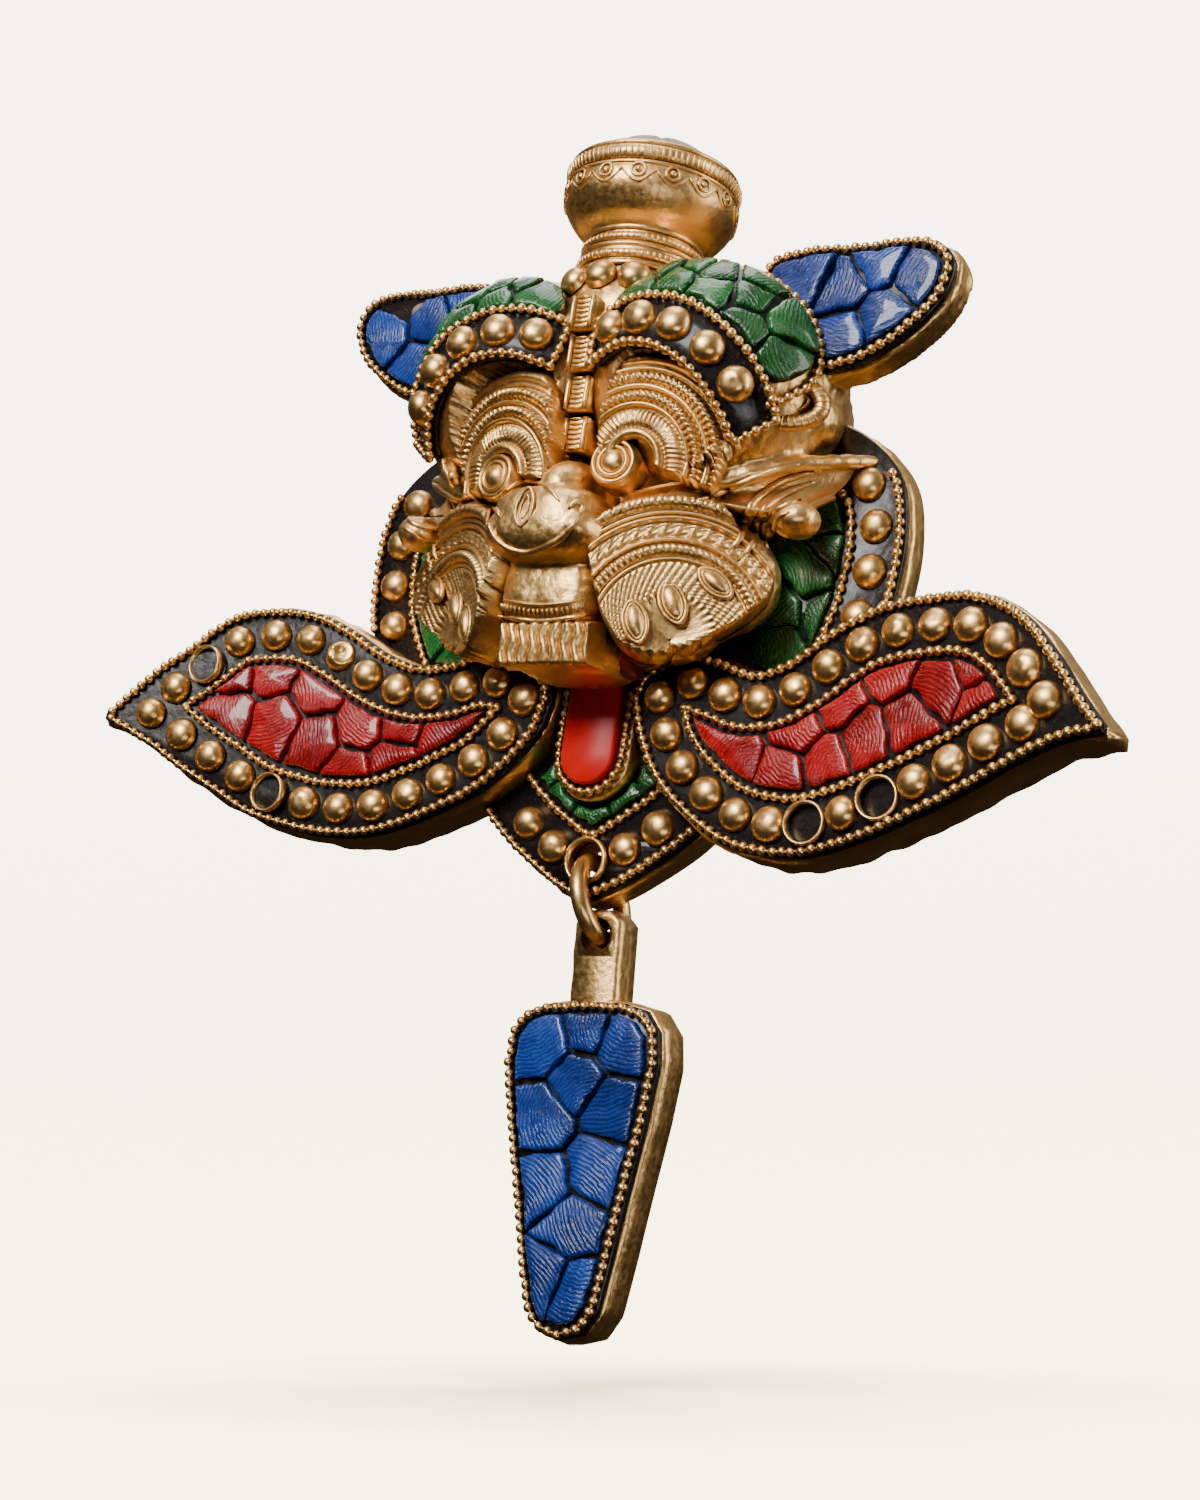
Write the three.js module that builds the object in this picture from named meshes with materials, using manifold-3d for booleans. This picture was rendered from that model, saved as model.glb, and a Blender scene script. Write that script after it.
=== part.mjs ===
// Kirtimukha wall hanging: a brass face of glory with two spread leaves, set with stone chips in black lac,
// and a pendant on a ring below it. Units are millimetres and +Z is up. The face looks along -Y. Pieces are
// drawn with the heart-shaped plate's back at Y = 0, and the last group puts the origin on the wall.
import * as THREE from "three";
import { mergeVertices } from "three/addons/utils/BufferGeometryUtils.js";
import Module from "manifold-3d";

const wasm = await Module();
wasm.setup();

// Gaps and layers that every inlay shares
const GAP = 0.3; // clearance between pieces that touch
const LAC = 1.2; // thickness of the black lac
const CHAIN_R = 0.95; // radius of the bead chain
const CHAIN_STEP = 8.5; // length of one chain facet
const DOME_R = 3.7; // radius of a half-round bead
const DOME_H = 2.7; // height of a half-round bead
const WEB = { half: 0.5, up: 0.1, thick: 0.6 }; // strip that joins a row of beads or chips
const FACET = 1.5; // extra room beside a chain, which runs straight between its corners
const CHIP = 1.5; // thickness of a stone chip
const CHIP_BEND = 0.7; // corners of a field of chips that bend less than this are left out
const CHIP_EDGE = 0.6; // height of the joint between two chips
const ON_LAC = GAP + LAC + GAP; // height above the metal where beads and chips start
const SINK = 1.2; // how deep a carved line is rooted in the form under it

// How far the inlays keep from the outline of what they sit on
const BED_IN = 0.6;
const OUTER_CHAIN_IN = BED_IN + CHAIN_R;
const DOME_IN = OUTER_CHAIN_IN + CHAIN_R + FACET / 2 + DOME_R;
const INNER_CHAIN_IN = DOME_IN + DOME_R + FACET / 2 + CHAIN_R;
const FIELD_IN = INNER_CHAIN_IN + CHAIN_R + 1.3 * FACET;

// The heart-shaped back plate: collar above, petal below
const PLATE = 6;
const PLATE_HALF = [
  [0, 68], [30, 67], [48, 63], [58, 57], [64, 49], [66, 38], [65.5, 28], [63.5, 18], [56, 3],
  [44, -10], [29, -20.5], [21, -27.5], [11, -34.2], [4.5, -37.6], [0, -39],
];
const COLLAR_SHIFT = -3; // the collar sits a little to the left of the face
const COLLAR_TOP = 49; // where the collar's inlays end
const COLLAR_SLANT = 0.4; // how much sooner an inner line of them ends than an outer one
const PETAL_INNER_IN = 13.4; // inset of the petal's inner chain
const HOLE_Z = -30.2; // suspension hole
const HOLE_R = 4.2;

// The two leaves: upper and lower edge of each, outwards from the middle
const LEAF_THICK = 9.5;
const LEAF_FRONT = 13.5; // the leaf's front at its root
const LEAF_FLARE = 19; // how far the tip comes forward
const LEAF_FLARE_FROM = 25;
const LEAF_FLARE_OVER = 95;
const LEAF_FLARE_POWER = 2.2;
const LEAF_STATIONS = 12;
const LEAVES = {
  right: {
    top: [[9.5, 4], [13, 9], [22, 12.5], [30, 11], [38, 8.5], [46, 11], [54, 16.5], [64, 20.8], [76, 22.4],
      [88, 21.4], [98, 16.2], [106, 8], [112, 0.5], [118, -6.5]],
    bottom: [[9.5, 2], [12.5, -7], [18, -15.4], [25, -21.6], [34, -27], [45, -29.6], [56, -29.2], [67, -26],
      [77, -22.2], [88, -17.6], [98, -13], [108, -9.5], [118, -8.5]],
    beads: 25,
    bezels: [[55.5, -23], [73.5, -17]],
    chips: [[36, -10], [47, -13], [49.5, -3.5], [58, 1.5], [57, -10.5], [65, -6], [69, 7], [74, -3], [80, 4],
      [88, 8], [92, 0]],
  },
  left: {
    top: [[9.5, 4], [13, 8.5], [21, 12], [29, 12.8], [37, 10.4], [45, 9.8], [54, 12.5], [63, 17.2], [72, 20.8],
      [82, 21.5], [93, 19], [102, 11], [109, 4.6], [118, -6.5]],
    bottom: [[9.5, 2], [13, -7], [22.5, -16.8], [31.5, -21.8], [41, -26], [51, -29.2], [62, -30], [72, -28.9],
      [82, -26.6], [91, -22.2], [99, -18.2], [108, -13], [118, -8.5]],
    beads: 24,
    bezels: [[93, 8], [79.5, -19.5]],
    chips: [[36, -6], [46, -4], [47, -13], [57, -4.5], [58.5, -15], [67, -9], [69, 3], [78, -5], [81, 6],
      [89, -4], [90, 5]],
  },
};

// The head is built from eggs: centre, radii
const SKULL = { c: [0, -4, 52], r: [47, 25, 40] };
const BROW = { c: [21, -17, 66], r: [27, 26.5, 27] };
const CROWN = { c: [0, -20, 80], r: [17, 17, 14] };
const NOSE = { c: [0, -34, 31], r: [12.5, 15, 9.5] };
const BRIDGE = { c: [0, -28, 41], r: [6.5, 10, 7] };
const WING = { c: [11.5, -35, 30.5], r: [5.5, 8.5, 6] };
const MUZZLE = { c: [0, -24, 20], r: [24, 14, 14] };
const LOBE = { c: [20, -24.5, 18.3], r: [15, 10, 11.4] };
const CHEEK = { c: [28, -22.5, 27.5], r: [19, 10.5, 16.5] };
const EAR_BOSS = { c: [43, -14, 59], r: [11, 11, 11] };
const TUSK = { c: [45.5, -20, 37], r: [5, 6, 5] };
const CHIN = { c: [0, -25, 8.5], r: [13, 8.5, 4] };
const EYE = { c: [16, -31.5, 46.5], r: [4.6, 5.4, 3.6] };
const EGG_SIDES = 10;
const EGG_RINGS = 6;
const SMALL_EGG = 12; // an egg under this size gets fewer faces
const SMALL_SIDES = 6;
const SMALL_RINGS = 4;

// The hollow behind the head, the rim round it that lies on the wall, and the bar for the wall hook
const STAND_OFF = 7.5; // the rim's depth behind the plate
const RIM = { z: 50, r: [43, 39] };
const RIM_SIDES = 24;
const HOLLOW = { z: 53, r: [33, 27, 28] }; // the middle one is its depth from the wall
const BAR = { z: 70, long: 56, thick: 4, high: 5, recess: 4 };
const ORIGIN_Z = 18; // the origin lies on the rim's flat face, under the hollow

// Lines carved on the head, in degrees round the egg that they lie on
const LINE_STEPS = 5; // corners of a carved line
const ARCHES = { count: 4, u: -12, v: -46, first: 15.5, step: 8.2, from: 12, to: 168, half: 1.6, high: 1.5 };
const CHEEK_BANDS = { count: 2, top: 38, step: 24, from: -55, to: 62, arch: 12, half: 1.7, high: 1.4 };
const CREST = { path: [[30, -29, 40], [43, -24, 45.5], [51, -15, 52], [54, -7, 56]], half: 3.4 };
const COIL = { r: 6.2, from: -60, to: 215, half: 1.8, high: 2 };
const RIDGE = { blocks: 4, half: 2.9, top: [-38.8, 80.5], foot: [-30, 48.5], deep: 9, gap: 0.8 };
const TEETH = { count: 9, half: 1.05, r: 12.5, low: 6, high: 14.2, y: -23.5, fan: 11, deep: 4.5 };
const FANGS = { count: 4, r: [2.6, 2.4, 3.4], path: [[19.5, -32.6, 10.6], [29, -32, 13.5], [38, -27.5, 18.5]] };

// The brow band, in degrees round the brow egg, from the nose ridge outwards
const BAND = [[-36, 8], [-16, 12.6], [5, 9.8], [22, 0.3], [36, -13], [49, -30]];
const BAND_BEADS = [[-25, 11.4], [-8, 12.4], [9, 8.2], [24, -1.4], [37, -14.2]];
const BAND_HALF = DOME_R + GAP + CHAIN_R; // from the band's middle line to its chains
const CAP = [
  [-33, 24], [-14, 27.5], [8, 24.5], [25, 16.5], [40, 4], [52, -9], [66, 1], [66, 14], [58, 27], [44, 38],
  [20, 44], [-8, 44], [-30, 36],
];
const CAP_CHIPS = [[-20, 35], [2, 33], [22, 28], [24, 38], [40, 25], [38, 12], [54, 14], [52, 0]];
const CAP_CHAIN = [[57, -14], [71, -2], [71.5, 14], [64, 29], [50, 42]];

// Ears
const EAR_FRONT = 21;
const EAR_THICK = 7;
const EAR = [
  [30, 76], [31, 91.5], [41, 95], [52, 94.6], [62, 95], [69.5, 93.5], [73.5, 88.5], [72.5, 82],
  [69, 77], [63, 72], [56, 68.4], [48, 66.6], [38, 66],
];
const EAR_CHIPS = [[42, 90], [50, 83], [52, 73.5], [57, 90], [61, 79], [67, 87]];

// Knob on the crown
const KNOB_Y = -21.3;
const KNOB_Z = 90;
const KNOB = [
  [0, -4], [11.8, -4], [12.9, 3], [12, 8.6], [15.4, 11.6], [18, 15.5], [18.3, 19], [17.4, 21.8],
  [17.6, 24.8], [11, 30], [0, 32.8],
];
const KNOB_SIDES = 12;
const CROWN_BEADS = [[-27, 27], [0, 28], [27, 27]]; // in degrees round the crown
const CROWN_BEAD_R = 3.2;

// Tongue
const TONGUE_W = 13;
const TONGUE_TOP = 8;
const TONGUE_BOTTOM = -15.5;
const TONGUE_FRONT = 12; // the casting's front under the tongue
const TONGUE_RIM = GAP + 2 * CHAIN_R + 0.4; // metal round the red tongue, which carries its chain
const TONGUE_THICK = 2.4;
const ARC_STEPS = 6; // facets in half a circle

// Ring and pendant
const RING_R = 8.3;
const WIRE_R = 1.9;
const RING_Y = -4.7; // middle of all that hangs
const RING_LEAN = 18; // degrees that the ring leans to the right
const RING_SIDES = 16;
const WIRE_SIDES = 6;
const PENDANT_LEAN = 4.6; // degrees that the pendant leans to the right
const PENDANT_THICK = 7.5;
const LUG_W = 11;
const LUG_HOLE_R = 3;
const LUG_TOP = 2.4; // metal above the lug's hole
const LUG_LONG = 13; // from the lug's hole to the pendant's shoulder
const LUG_CORNER = 2.5;
const PENDANT_HALF = [
  [0, 0], [9, 0.4], [14.5, 2], [17.8, 6.5], [18.4, 13], [16.6, 24], [13.6, 38], [11, 51], [8.8, 61],
  [5.6, 65.6], [0, 67],
];
const PENDANT_CHIPS = [
  [-8, -9], [1.5, -6], [9.5, -9], [0, -16.5], [8, -22], [-7, -24], [5.5, -33.5], [-5.5, -37], [1, -45],
  [-3, -54.5], [3, -57],
];

// Bezels: empty ones on the leaves, and one round the suspension hole
const BEZEL_R = 4.5;
const BEZEL_WALL = 0.8;
const BEZEL_H = 1.6;
const BEZEL_SIDES = 8;

const COLOURS = {
  brass: [0xb98a45, 0.34, 1],
  beads: [0xc29450, 0.28, 1],
  lac: [0x0c0a0a, 0.25, 0],
  blue: [0x123a9c, 0.3, 0],
  green: [0x157a2a, 0.35, 0],
  red: [0xa50f16, 0.35, 0],
  tongue: [0xe01616, 0.3, 0],
};

// Solids

const rad = THREE.MathUtils.degToRad;
const mix = THREE.MathUtils.lerp;
const SIDES = { right: 1, left: -1 };
const FLAT = 1e-3; // an outline's corner with less area than this is no corner

function solidOf(geometry) {
  const loose = geometry.index ? geometry.toNonIndexed() : geometry.clone();
  loose.deleteAttribute("normal");
  loose.deleteAttribute("uv");
  const merged = mergeVertices(loose, 1e-4);
  const faces = [];
  for (let i = 0; i < merged.index.count; i += 3) {
    const [a, b, c] = merged.index.array.slice(i, i + 3);
    if (a !== b && b !== c && c !== a) faces.push([a, b, c]);
  }
  const build = (list) =>
    new wasm.Manifold(
      new wasm.Mesh({
        numProp: 3,
        vertProperties: merged.attributes.position.array,
        triVerts: new Uint32Array(list.flat()),
      }),
    );
  const solid = build(faces);
  return solid.volume() > 0 ? solid : build(faces.map(([a, b, c]) => [a, c, b]));
}

function geometryOf(solid) {
  const m = solid.getMesh();
  const xyz = new Float32Array(m.numVert * 3);
  for (let i = 0; i < m.numVert; i++) {
    xyz.set(m.vertProperties.subarray(i * m.numProp, i * m.numProp + 3), i * 3);
  }
  const geometry = new THREE.BufferGeometry();
  geometry.setAttribute("position", new THREE.BufferAttribute(xyz, 3));
  geometry.setIndex(new THREE.BufferAttribute(m.triVerts, 1));
  geometry.computeVertexNormals();
  return geometry;
}

const joined = (solids) => solids.reduce((a, b) => a.add(b));

function indexed(xyz, index) {
  const geometry = new THREE.BufferGeometry();
  geometry.setAttribute("position", new THREE.Float32BufferAttribute(xyz, 3));
  geometry.setIndex(index);
  return solidOf(geometry);
}

// Rings of points, each with as many points, closed on themselves or by a cap at each end
function loft(rings, closed = false) {
  const n = rings[0].length;
  const index = [];
  const last = rings.length - 1;
  for (let i = 0; i < (closed ? last + 1 : last); i++) {
    const next = ((i + 1) % rings.length) * n;
    for (let j = 0; j < n; j++) {
      const k = (j + 1) % n;
      index.push(i * n + j, i * n + k, next + k, i * n + j, next + k, next + j);
    }
  }
  for (let j = 1; j + 1 < n && !closed; j++) {
    index.push(0, j + 1, j, last * n, last * n + j, last * n + j + 1);
  }
  return indexed(rings.flat(2), index);
}

// A face maps a place on it and a height above it to a point. unit is the length of one step on it.
const plane = (y, side = 1) => ({ unit: 1, at: (x, z, h) => [side * x, y - h, z] });

function eggFace({ c, r }, side = 1) {
  const at = (u, v, h) => [
    side * (c[0] + (r[0] + h) * Math.cos(rad(v)) * Math.sin(rad(u))),
    c[1] - (r[1] + h) * Math.cos(rad(v)) * Math.cos(rad(u)),
    c[2] + (r[2] + h) * Math.sin(rad(v)),
  ];
  return { unit: rad(1) * r[0], at };
}

// A profile of [sideways, height] points, or one for each step, drawn along a path that lies on a face
function sweep(path, face, profile, closed = false) {
  const n = path.length;
  const rings = path.map(([u, v], i) => {
    const before = path[closed ? (i + n - 1) % n : Math.max(i - 1, 0)];
    const after = path[closed ? (i + 1) % n : Math.min(i + 1, n - 1)];
    const step = Math.hypot(after[0] - before[0], after[1] - before[1]) * face.unit;
    const across = [(before[1] - after[1]) / step, (after[0] - before[0]) / step];
    const section = typeof profile === "function" ? profile(i) : profile;
    return section.map(([side, h]) => face.at(u + across[0] * side, v + across[1] * side, h));
  });
  return loft(rings, closed);
}

const turns = (a, p, b) => (p[0] - a[0]) * (b[1] - p[1]) - (p[1] - a[1]) * (b[0] - p[0]);

// An outline without the points that lie in the middle of a straight run
function corners(line) {
  const n = line.length;
  return line.filter((p, i) => Math.abs(turns(line[(i + n - 1) % n], p, line[(i + 1) % n])) > FLAT);
}

// An outline on a face, filled between two heights
function slab(line, face, low, high) {
  const outline = corners(line);
  const n = outline.length;
  const contour = outline.map(([u, v]) => new THREE.Vector2(u, v));
  const turn = Math.sign(THREE.ShapeUtils.area(contour));
  const index = [];
  for (const [a, b, c] of THREE.ShapeUtils.triangulateShape(contour, [])) {
    const [p, q] = turns(outline[a], outline[b], outline[c]) * turn > 0 ? [b, c] : [c, b];
    index.push(a, q, p, a + n, p + n, q + n);
  }
  for (let j = 0; j < n; j++) {
    const k = (j + 1) % n;
    index.push(j, k, k + n, j, k + n, j + n);
  }
  return indexed([low, high].flatMap((h) => outline.flatMap(([u, v]) => face.at(u, v, h))), index);
}

function egg({ c, r }, side = 1, grow = 0) {
  const small = Math.max(...r) < SMALL_EGG;
  const sphere = small
    ? new THREE.SphereGeometry(1, SMALL_SIDES, SMALL_RINGS)
    : new THREE.SphereGeometry(1, EGG_SIDES, EGG_RINGS);
  sphere.rotateX(Math.PI / 2);
  sphere.scale(r[0] + grow, r[1] + grow, r[2] + grow);
  sphere.translate(side * c[0], c[1], c[2]);
  return solidOf(sphere);
}

function box(x0, x1, y0, y1, z0, z1) {
  const block = new THREE.BoxGeometry(x1 - x0, y1 - y0, z1 - z0);
  block.translate((x0 + x1) / 2, (y0 + y1) / 2, (z0 + z1) / 2);
  return solidOf(block);
}

// A round pin along Y
function pin(x, z, r, back, front, sides) {
  const cylinder = new THREE.CylinderGeometry(r, r, back - front, sides);
  cylinder.translate(x, (back + front) / 2, z);
  return solidOf(cylinder);
}

// Outlines and paths

// A smooth line through points, cut into equal steps
function smooth(points, step) {
  const curve = new THREE.SplineCurve(points.map(([x, z]) => new THREE.Vector2(x, z)));
  const count = Math.max(2, Math.round(curve.getLength() / step));
  return curve.getSpacedPoints(count).map((p) => [p.x, p.y]);
}

// The same line with a new number of equal steps
function resampled(path, count, closed) {
  const ends = closed ? [...path, path[0]] : path;
  const run = [0];
  for (let i = 1; i < ends.length; i++) {
    run.push(run[i - 1] + Math.hypot(ends[i][0] - ends[i - 1][0], ends[i][1] - ends[i - 1][1]));
  }
  const total = run[run.length - 1];
  const out = [];
  for (let k = 0; k < (closed ? count : count + 1); k++) {
    const s = (total * k) / count;
    const i = Math.max(1, run.findIndex((value) => value >= s - 1e-9));
    const t = (s - run[i - 1]) / (run[i] - run[i - 1]);
    out.push([mix(ends[i - 1][0], ends[i][0], t), mix(ends[i - 1][1], ends[i][1], t)]);
  }
  return out;
}

function length(path, closed) {
  const ends = closed ? [...path, path[0]] : path;
  return ends.slice(1).reduce((sum, p, i) => sum + Math.hypot(p[0] - ends[i][0], p[1] - ends[i][1]), 0);
}

function distanceTo(outline, [x, z]) {
  let best = Infinity;
  outline.forEach(([ax, az], i) => {
    const [bx, bz] = outline[(i + 1) % outline.length];
    const along = (x - ax) * (bx - ax) + (z - az) * (bz - az);
    const t = THREE.MathUtils.clamp(along / ((bx - ax) ** 2 + (bz - az) ** 2), 0, 1);
    best = Math.min(best, Math.hypot(x - mix(ax, bx, t), z - mix(az, bz, t)));
  });
  return best;
}

function inside(outline, [x, z]) {
  let odd = false;
  outline.forEach(([ax, az], i) => {
    const [bx, bz] = outline[(i + 1) % outline.length];
    if (az > z !== bz > z && x < ax + ((bx - ax) * (z - az)) / (bz - az)) odd = !odd;
  });
  return odd;
}

// An outline that runs anticlockwise, moved inwards, without what would come too near another stretch
function inset(outline, distance) {
  const n = outline.length;
  const moved = outline.map(([x, z], i) => {
    const [px, pz] = outline[(i + n - 1) % n];
    const [qx, qz] = outline[(i + 1) % n];
    const step = Math.hypot(qx - px, qz - pz);
    return [x - ((qz - pz) / step) * distance, z + ((qx - px) / step) * distance];
  });
  return moved.filter((p) => inside(outline, p) && distanceTo(outline, p) > distance * 0.96);
}

// The height of a line that runs along X
function heightAt(points, x) {
  const i = points.findIndex((p) => p[0] >= x);
  if (i < 1) return points[i < 0 ? points.length - 1 : 0][1];
  const t = (x - points[i - 1][0]) / (points[i][0] - points[i - 1][0]);
  return mix(points[i - 1][1], points[i][1], t);
}

// An outline without the points that stand off the line between their neighbours by less than a depth
function simple(outline, depth) {
  let kept = outline;
  for (;;) {
    const n = kept.length;
    const depths = kept.map((p, i) => {
      const [a, b] = [kept[(i + n - 1) % n], kept[(i + 1) % n]];
      return Math.abs(turns(a, p, b)) / Math.hypot(b[0] - a[0], b[1] - a[1]);
    });
    const least = depths.indexOf(Math.min(...depths));
    if (n < 5 || depths[least] >= depth) return kept;
    kept = kept.filter((_, i) => i !== least);
  }
}

const arc = (x, z, r, from, to, steps) =>
  Array.from({ length: steps + 1 }, (_, i) => {
    const a = rad(mix(from, to, i / steps));
    return [x + r * Math.cos(a), z + r * Math.sin(a)];
  });

// Inlays

const chainProfile = (low) => [[-CHAIN_R, low], [CHAIN_R, low], [0, low + 2 * CHAIN_R]];

function chain(path, face, closed, low = ON_LAC) {
  const steps = Math.round((length(path, closed) * face.unit) / CHAIN_STEP);
  return sweep(resampled(path, steps, closed), face, chainProfile(low), closed);
}

// A round cup or plug set on a face
function disc([u, v], r, high, face, low) {
  const profile = [[0, 0], [r, 0], [r, high], [0, high]].map((p) => new THREE.Vector2(...p));
  const lathe = new THREE.LatheGeometry(profile, BEZEL_SIDES);
  const at = lathe.attributes.position;
  for (let i = 0; i < at.count; i++) {
    at.setXYZ(i, ...face.at(u + at.getX(i) / face.unit, v + at.getZ(i) / face.unit, low + at.getY(i)));
  }
  return solidOf(lathe);
}

const webProfile = () => {
  const low = ON_LAC + WEB.up;
  return [[-WEB.half, low], [WEB.half, low], [WEB.half, low + WEB.thick], [-WEB.half, low + WEB.thick]];
};

function beadProfile(half, high) {
  return [[-half, ON_LAC], [half, ON_LAC], [half * 0.55, ON_LAC + high], [half * -0.55, ON_LAC + high]];
}

// A row of half-round beads that narrows to a strip between them, with empty bezels in the places given
function beadRow(places, bezels, face, closed = false, r = DOME_R) {
  const [path, profiles] = [[], []];
  const put = (p, profile) => {
    path.push(p);
    profiles.push(profile);
  };
  places.forEach((p, i) => {
    const n = places.length;
    const before = places[closed ? (i + n - 1) % n : Math.max(i - 1, 0)];
    const after = places[closed ? (i + 1) % n : Math.min(i + 1, n - 1)];
    const step = Math.hypot(after[0] - before[0], after[1] - before[1]) * face.unit;
    const along = (s) => [p[0] + ((after[0] - before[0]) / step) * s, p[1] + ((after[1] - before[1]) / step) * s];
    if (bezels.includes(p)) {
      put(p, webProfile());
      return;
    }
    if (!closed && i === 0) put(along(-0.95 * r), beadProfile(0.35 * r, DOME_H / 2));
    put(along(-0.5 * r), beadProfile(0.87 * r, DOME_H));
    put(along(0.5 * r), beadProfile(0.87 * r, DOME_H));
    if (!closed && i === n - 1) put(along(0.95 * r), beadProfile(0.35 * r, DOME_H / 2));
    if (closed || i < n - 1) put([(p[0] + after[0]) / 2, (p[1] + after[1]) / 2], webProfile());
  });
  const row = sweep(path, face, (i) => profiles[i], closed);
  const cups = bezels.map((p) => disc(p, BEZEL_R, BEZEL_H, face, ON_LAC));
  const bores = bezels.map((p) => disc(p, BEZEL_R - BEZEL_WALL, BEZEL_H + 2 * GAP, face, ON_LAC - GAP));
  return bores.length ? joined([row, ...cups]).subtract(joined(bores)) : row;
}

// The part of an outline that is nearer to one seed than to any other
function cell(outline, seed, seeds) {
  let kept = outline;
  for (const other of seeds) {
    if (other === seed) continue;
    const gap = Math.hypot(other[0] - seed[0], other[1] - seed[1]);
    const toward = [(other[0] - seed[0]) / gap, (other[1] - seed[1]) / gap];
    const room = (p) => gap / 2 - ((p[0] - seed[0]) * toward[0] + (p[1] - seed[1]) * toward[1]);
    const next = [];
    kept.forEach((p, i) => {
      const q = kept[(i + 1) % kept.length];
      const [a, b] = [room(p), room(q)];
      if (a >= 0) next.push(p);
      if (a >= 0 !== b >= 0) next.push([mix(p[0], q[0], a / (a - b)), mix(p[1], q[1], a / (a - b))]);
    });
    kept = next;
  }
  return kept;
}

// Chips that fill an outline, each highest in its middle, with their joints as valleys between them
function chips(outline, seeds, face) {
  const [xyz, index, edges] = [[], [], new Map()];
  const put = (p, h) => xyz.push(...face.at(p[0], p[1], h)) / 3 - 1;
  const spot = (p) => p.map((value) => value.toFixed(3)).join();
  const turn = Math.sign(THREE.ShapeUtils.area(outline.map(([u, v]) => new THREE.Vector2(u, v))));
  const field = simple(turn > 0 ? outline : [...outline].reverse(), CHIP_BEND);
  for (const seed of seeds) {
    const stone = cell(field, seed, seeds);
    stone.forEach((p, i) => {
      const q = stone[(i + 1) % stone.length];
      const [a, b, top] = [put(p, ON_LAC + CHIP_EDGE), put(q, ON_LAC + CHIP_EDGE), put(seed, ON_LAC + CHIP)];
      const [c, d, foot] = [put(p, ON_LAC), put(q, ON_LAC), put(seed, ON_LAC)];
      index.push(a, b, top, d, c, foot);
      if (!edges.delete(spot(q) + spot(p))) edges.set(spot(p) + spot(q), [c, d, b, c, b, a]);
    });
  }
  index.push(...[...edges.values()].flat());
  return indexed(xyz, index);
}

// The casting

const leafFront = (x) =>
  LEAF_FRONT + LEAF_FLARE * (Math.max(0, x - LEAF_FLARE_FROM) / LEAF_FLARE_OVER) ** LEAF_FLARE_POWER;
const leafFace = (side) => ({ unit: 1, at: (x, z, h) => [side * x, -leafFront(x) - h, z] });

const edges = {};
for (const name of Object.keys(SIDES)) {
  edges[name] = { top: smooth(LEAVES[name].top, 4), bottom: smooth(LEAVES[name].bottom, 4) };
}

const leafOutline = (name) => [...edges[name].bottom, ...[...edges[name].top].reverse()];

// The leaf's own shape between two heights over its front face, kept in from its outline
function leafBody(name, low, high, keep = 0) {
  const { top, bottom } = edges[name];
  const face = leafFace(SIDES[name]);
  const from = top[0][0] + keep;
  const to = top[top.length - 1][0] - keep;
  const rings = Array.from({ length: LEAF_STATIONS + 1 }, (_, i) => {
    const x = mix(from, to, i / LEAF_STATIONS);
    const middle = (heightAt(top, x) + heightAt(bottom, x)) / 2;
    const z0 = Math.min(heightAt(bottom, x) + keep, middle - keep / 2);
    const z1 = Math.max(heightAt(top, x) - keep, middle + keep / 2);
    return [[z0, low], [z1, low], [z1, high], [z0, high]].map(([z, h]) => face.at(x, z, h));
  });
  return loft(rings);
}

// How much of the collar's shift applies at a height
const shiftAt = (z) => COLLAR_SHIFT * THREE.MathUtils.clamp(z / 20 + 0.5, 0, 1);

// Half of the plate's outline, from the top down, seen as the right half
const plateHalf = (side) => PLATE_HALF.map(([x, z]) => [Math.max(0, x + (x > 0 ? side * shiftAt(z) : 0)), z]);

function plateOutline() {
  const left = plateHalf(-1).slice(1, -1).map(([x, z]) => [-x, z]);
  return [...left, ...plateHalf(1).reverse()];
}

const fullPlate = resampled(plateOutline(), 90, true);

const tongueOutline = (grow, top) => {
  const r = TONGUE_W / 2 + grow;
  return [...arc(0, TONGUE_BOTTOM + TONGUE_W / 2, r, 180, 360, ARC_STEPS), [r, top], [-r, top]];
};

function arches(side) {
  const face = eggFace(BROW, side);
  const { half, high, from, to } = ARCHES;
  return Array.from({ length: ARCHES.count }, (_, i) => {
    const path = arc(ARCHES.u, ARCHES.v, ARCHES.first + i * ARCHES.step, from, to, LINE_STEPS - 1);
    return sweep(path, face, [[-half, -SINK], [half, -SINK], [0, high]]);
  });
}

function cheekBands(side) {
  const face = eggFace(CHEEK, side);
  const { half, high, from, to, arch, top, step } = CHEEK_BANDS;
  return Array.from({ length: CHEEK_BANDS.count }, (_, i) => {
    const path = Array.from({ length: LINE_STEPS }, (_, k) => {
      const t = k / (LINE_STEPS - 1);
      return [mix(from, to, t), top - i * step - arch * (2 * t - 1) ** 2];
    });
    return sweep(path, face, [[-half, -SINK], [half, -SINK], [0, high]]);
  });
}

function crest(side) {
  const curve = new THREE.CatmullRomCurve3(CREST.path.map(([x, y, z]) => new THREE.Vector3(side * x, y, z)));
  const section = new THREE.Shape(arc(0, 0, CREST.half, 0, 288, LINE_STEPS - 1).map((p) => new THREE.Vector2(...p)));
  return solidOf(new THREE.ExtrudeGeometry(section, { extrudePath: curve, steps: 4, bevelEnabled: false }));
}

function earCoil(side) {
  const { r, from, to, half, high } = COIL;
  const face = eggFace(EAR_BOSS, side);
  const path = arc(0, 0, r / face.unit, from, to, ARC_STEPS);
  return sweep(path, face, [[-half, -SINK], [half, -SINK], [0, high]]);
}

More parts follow.
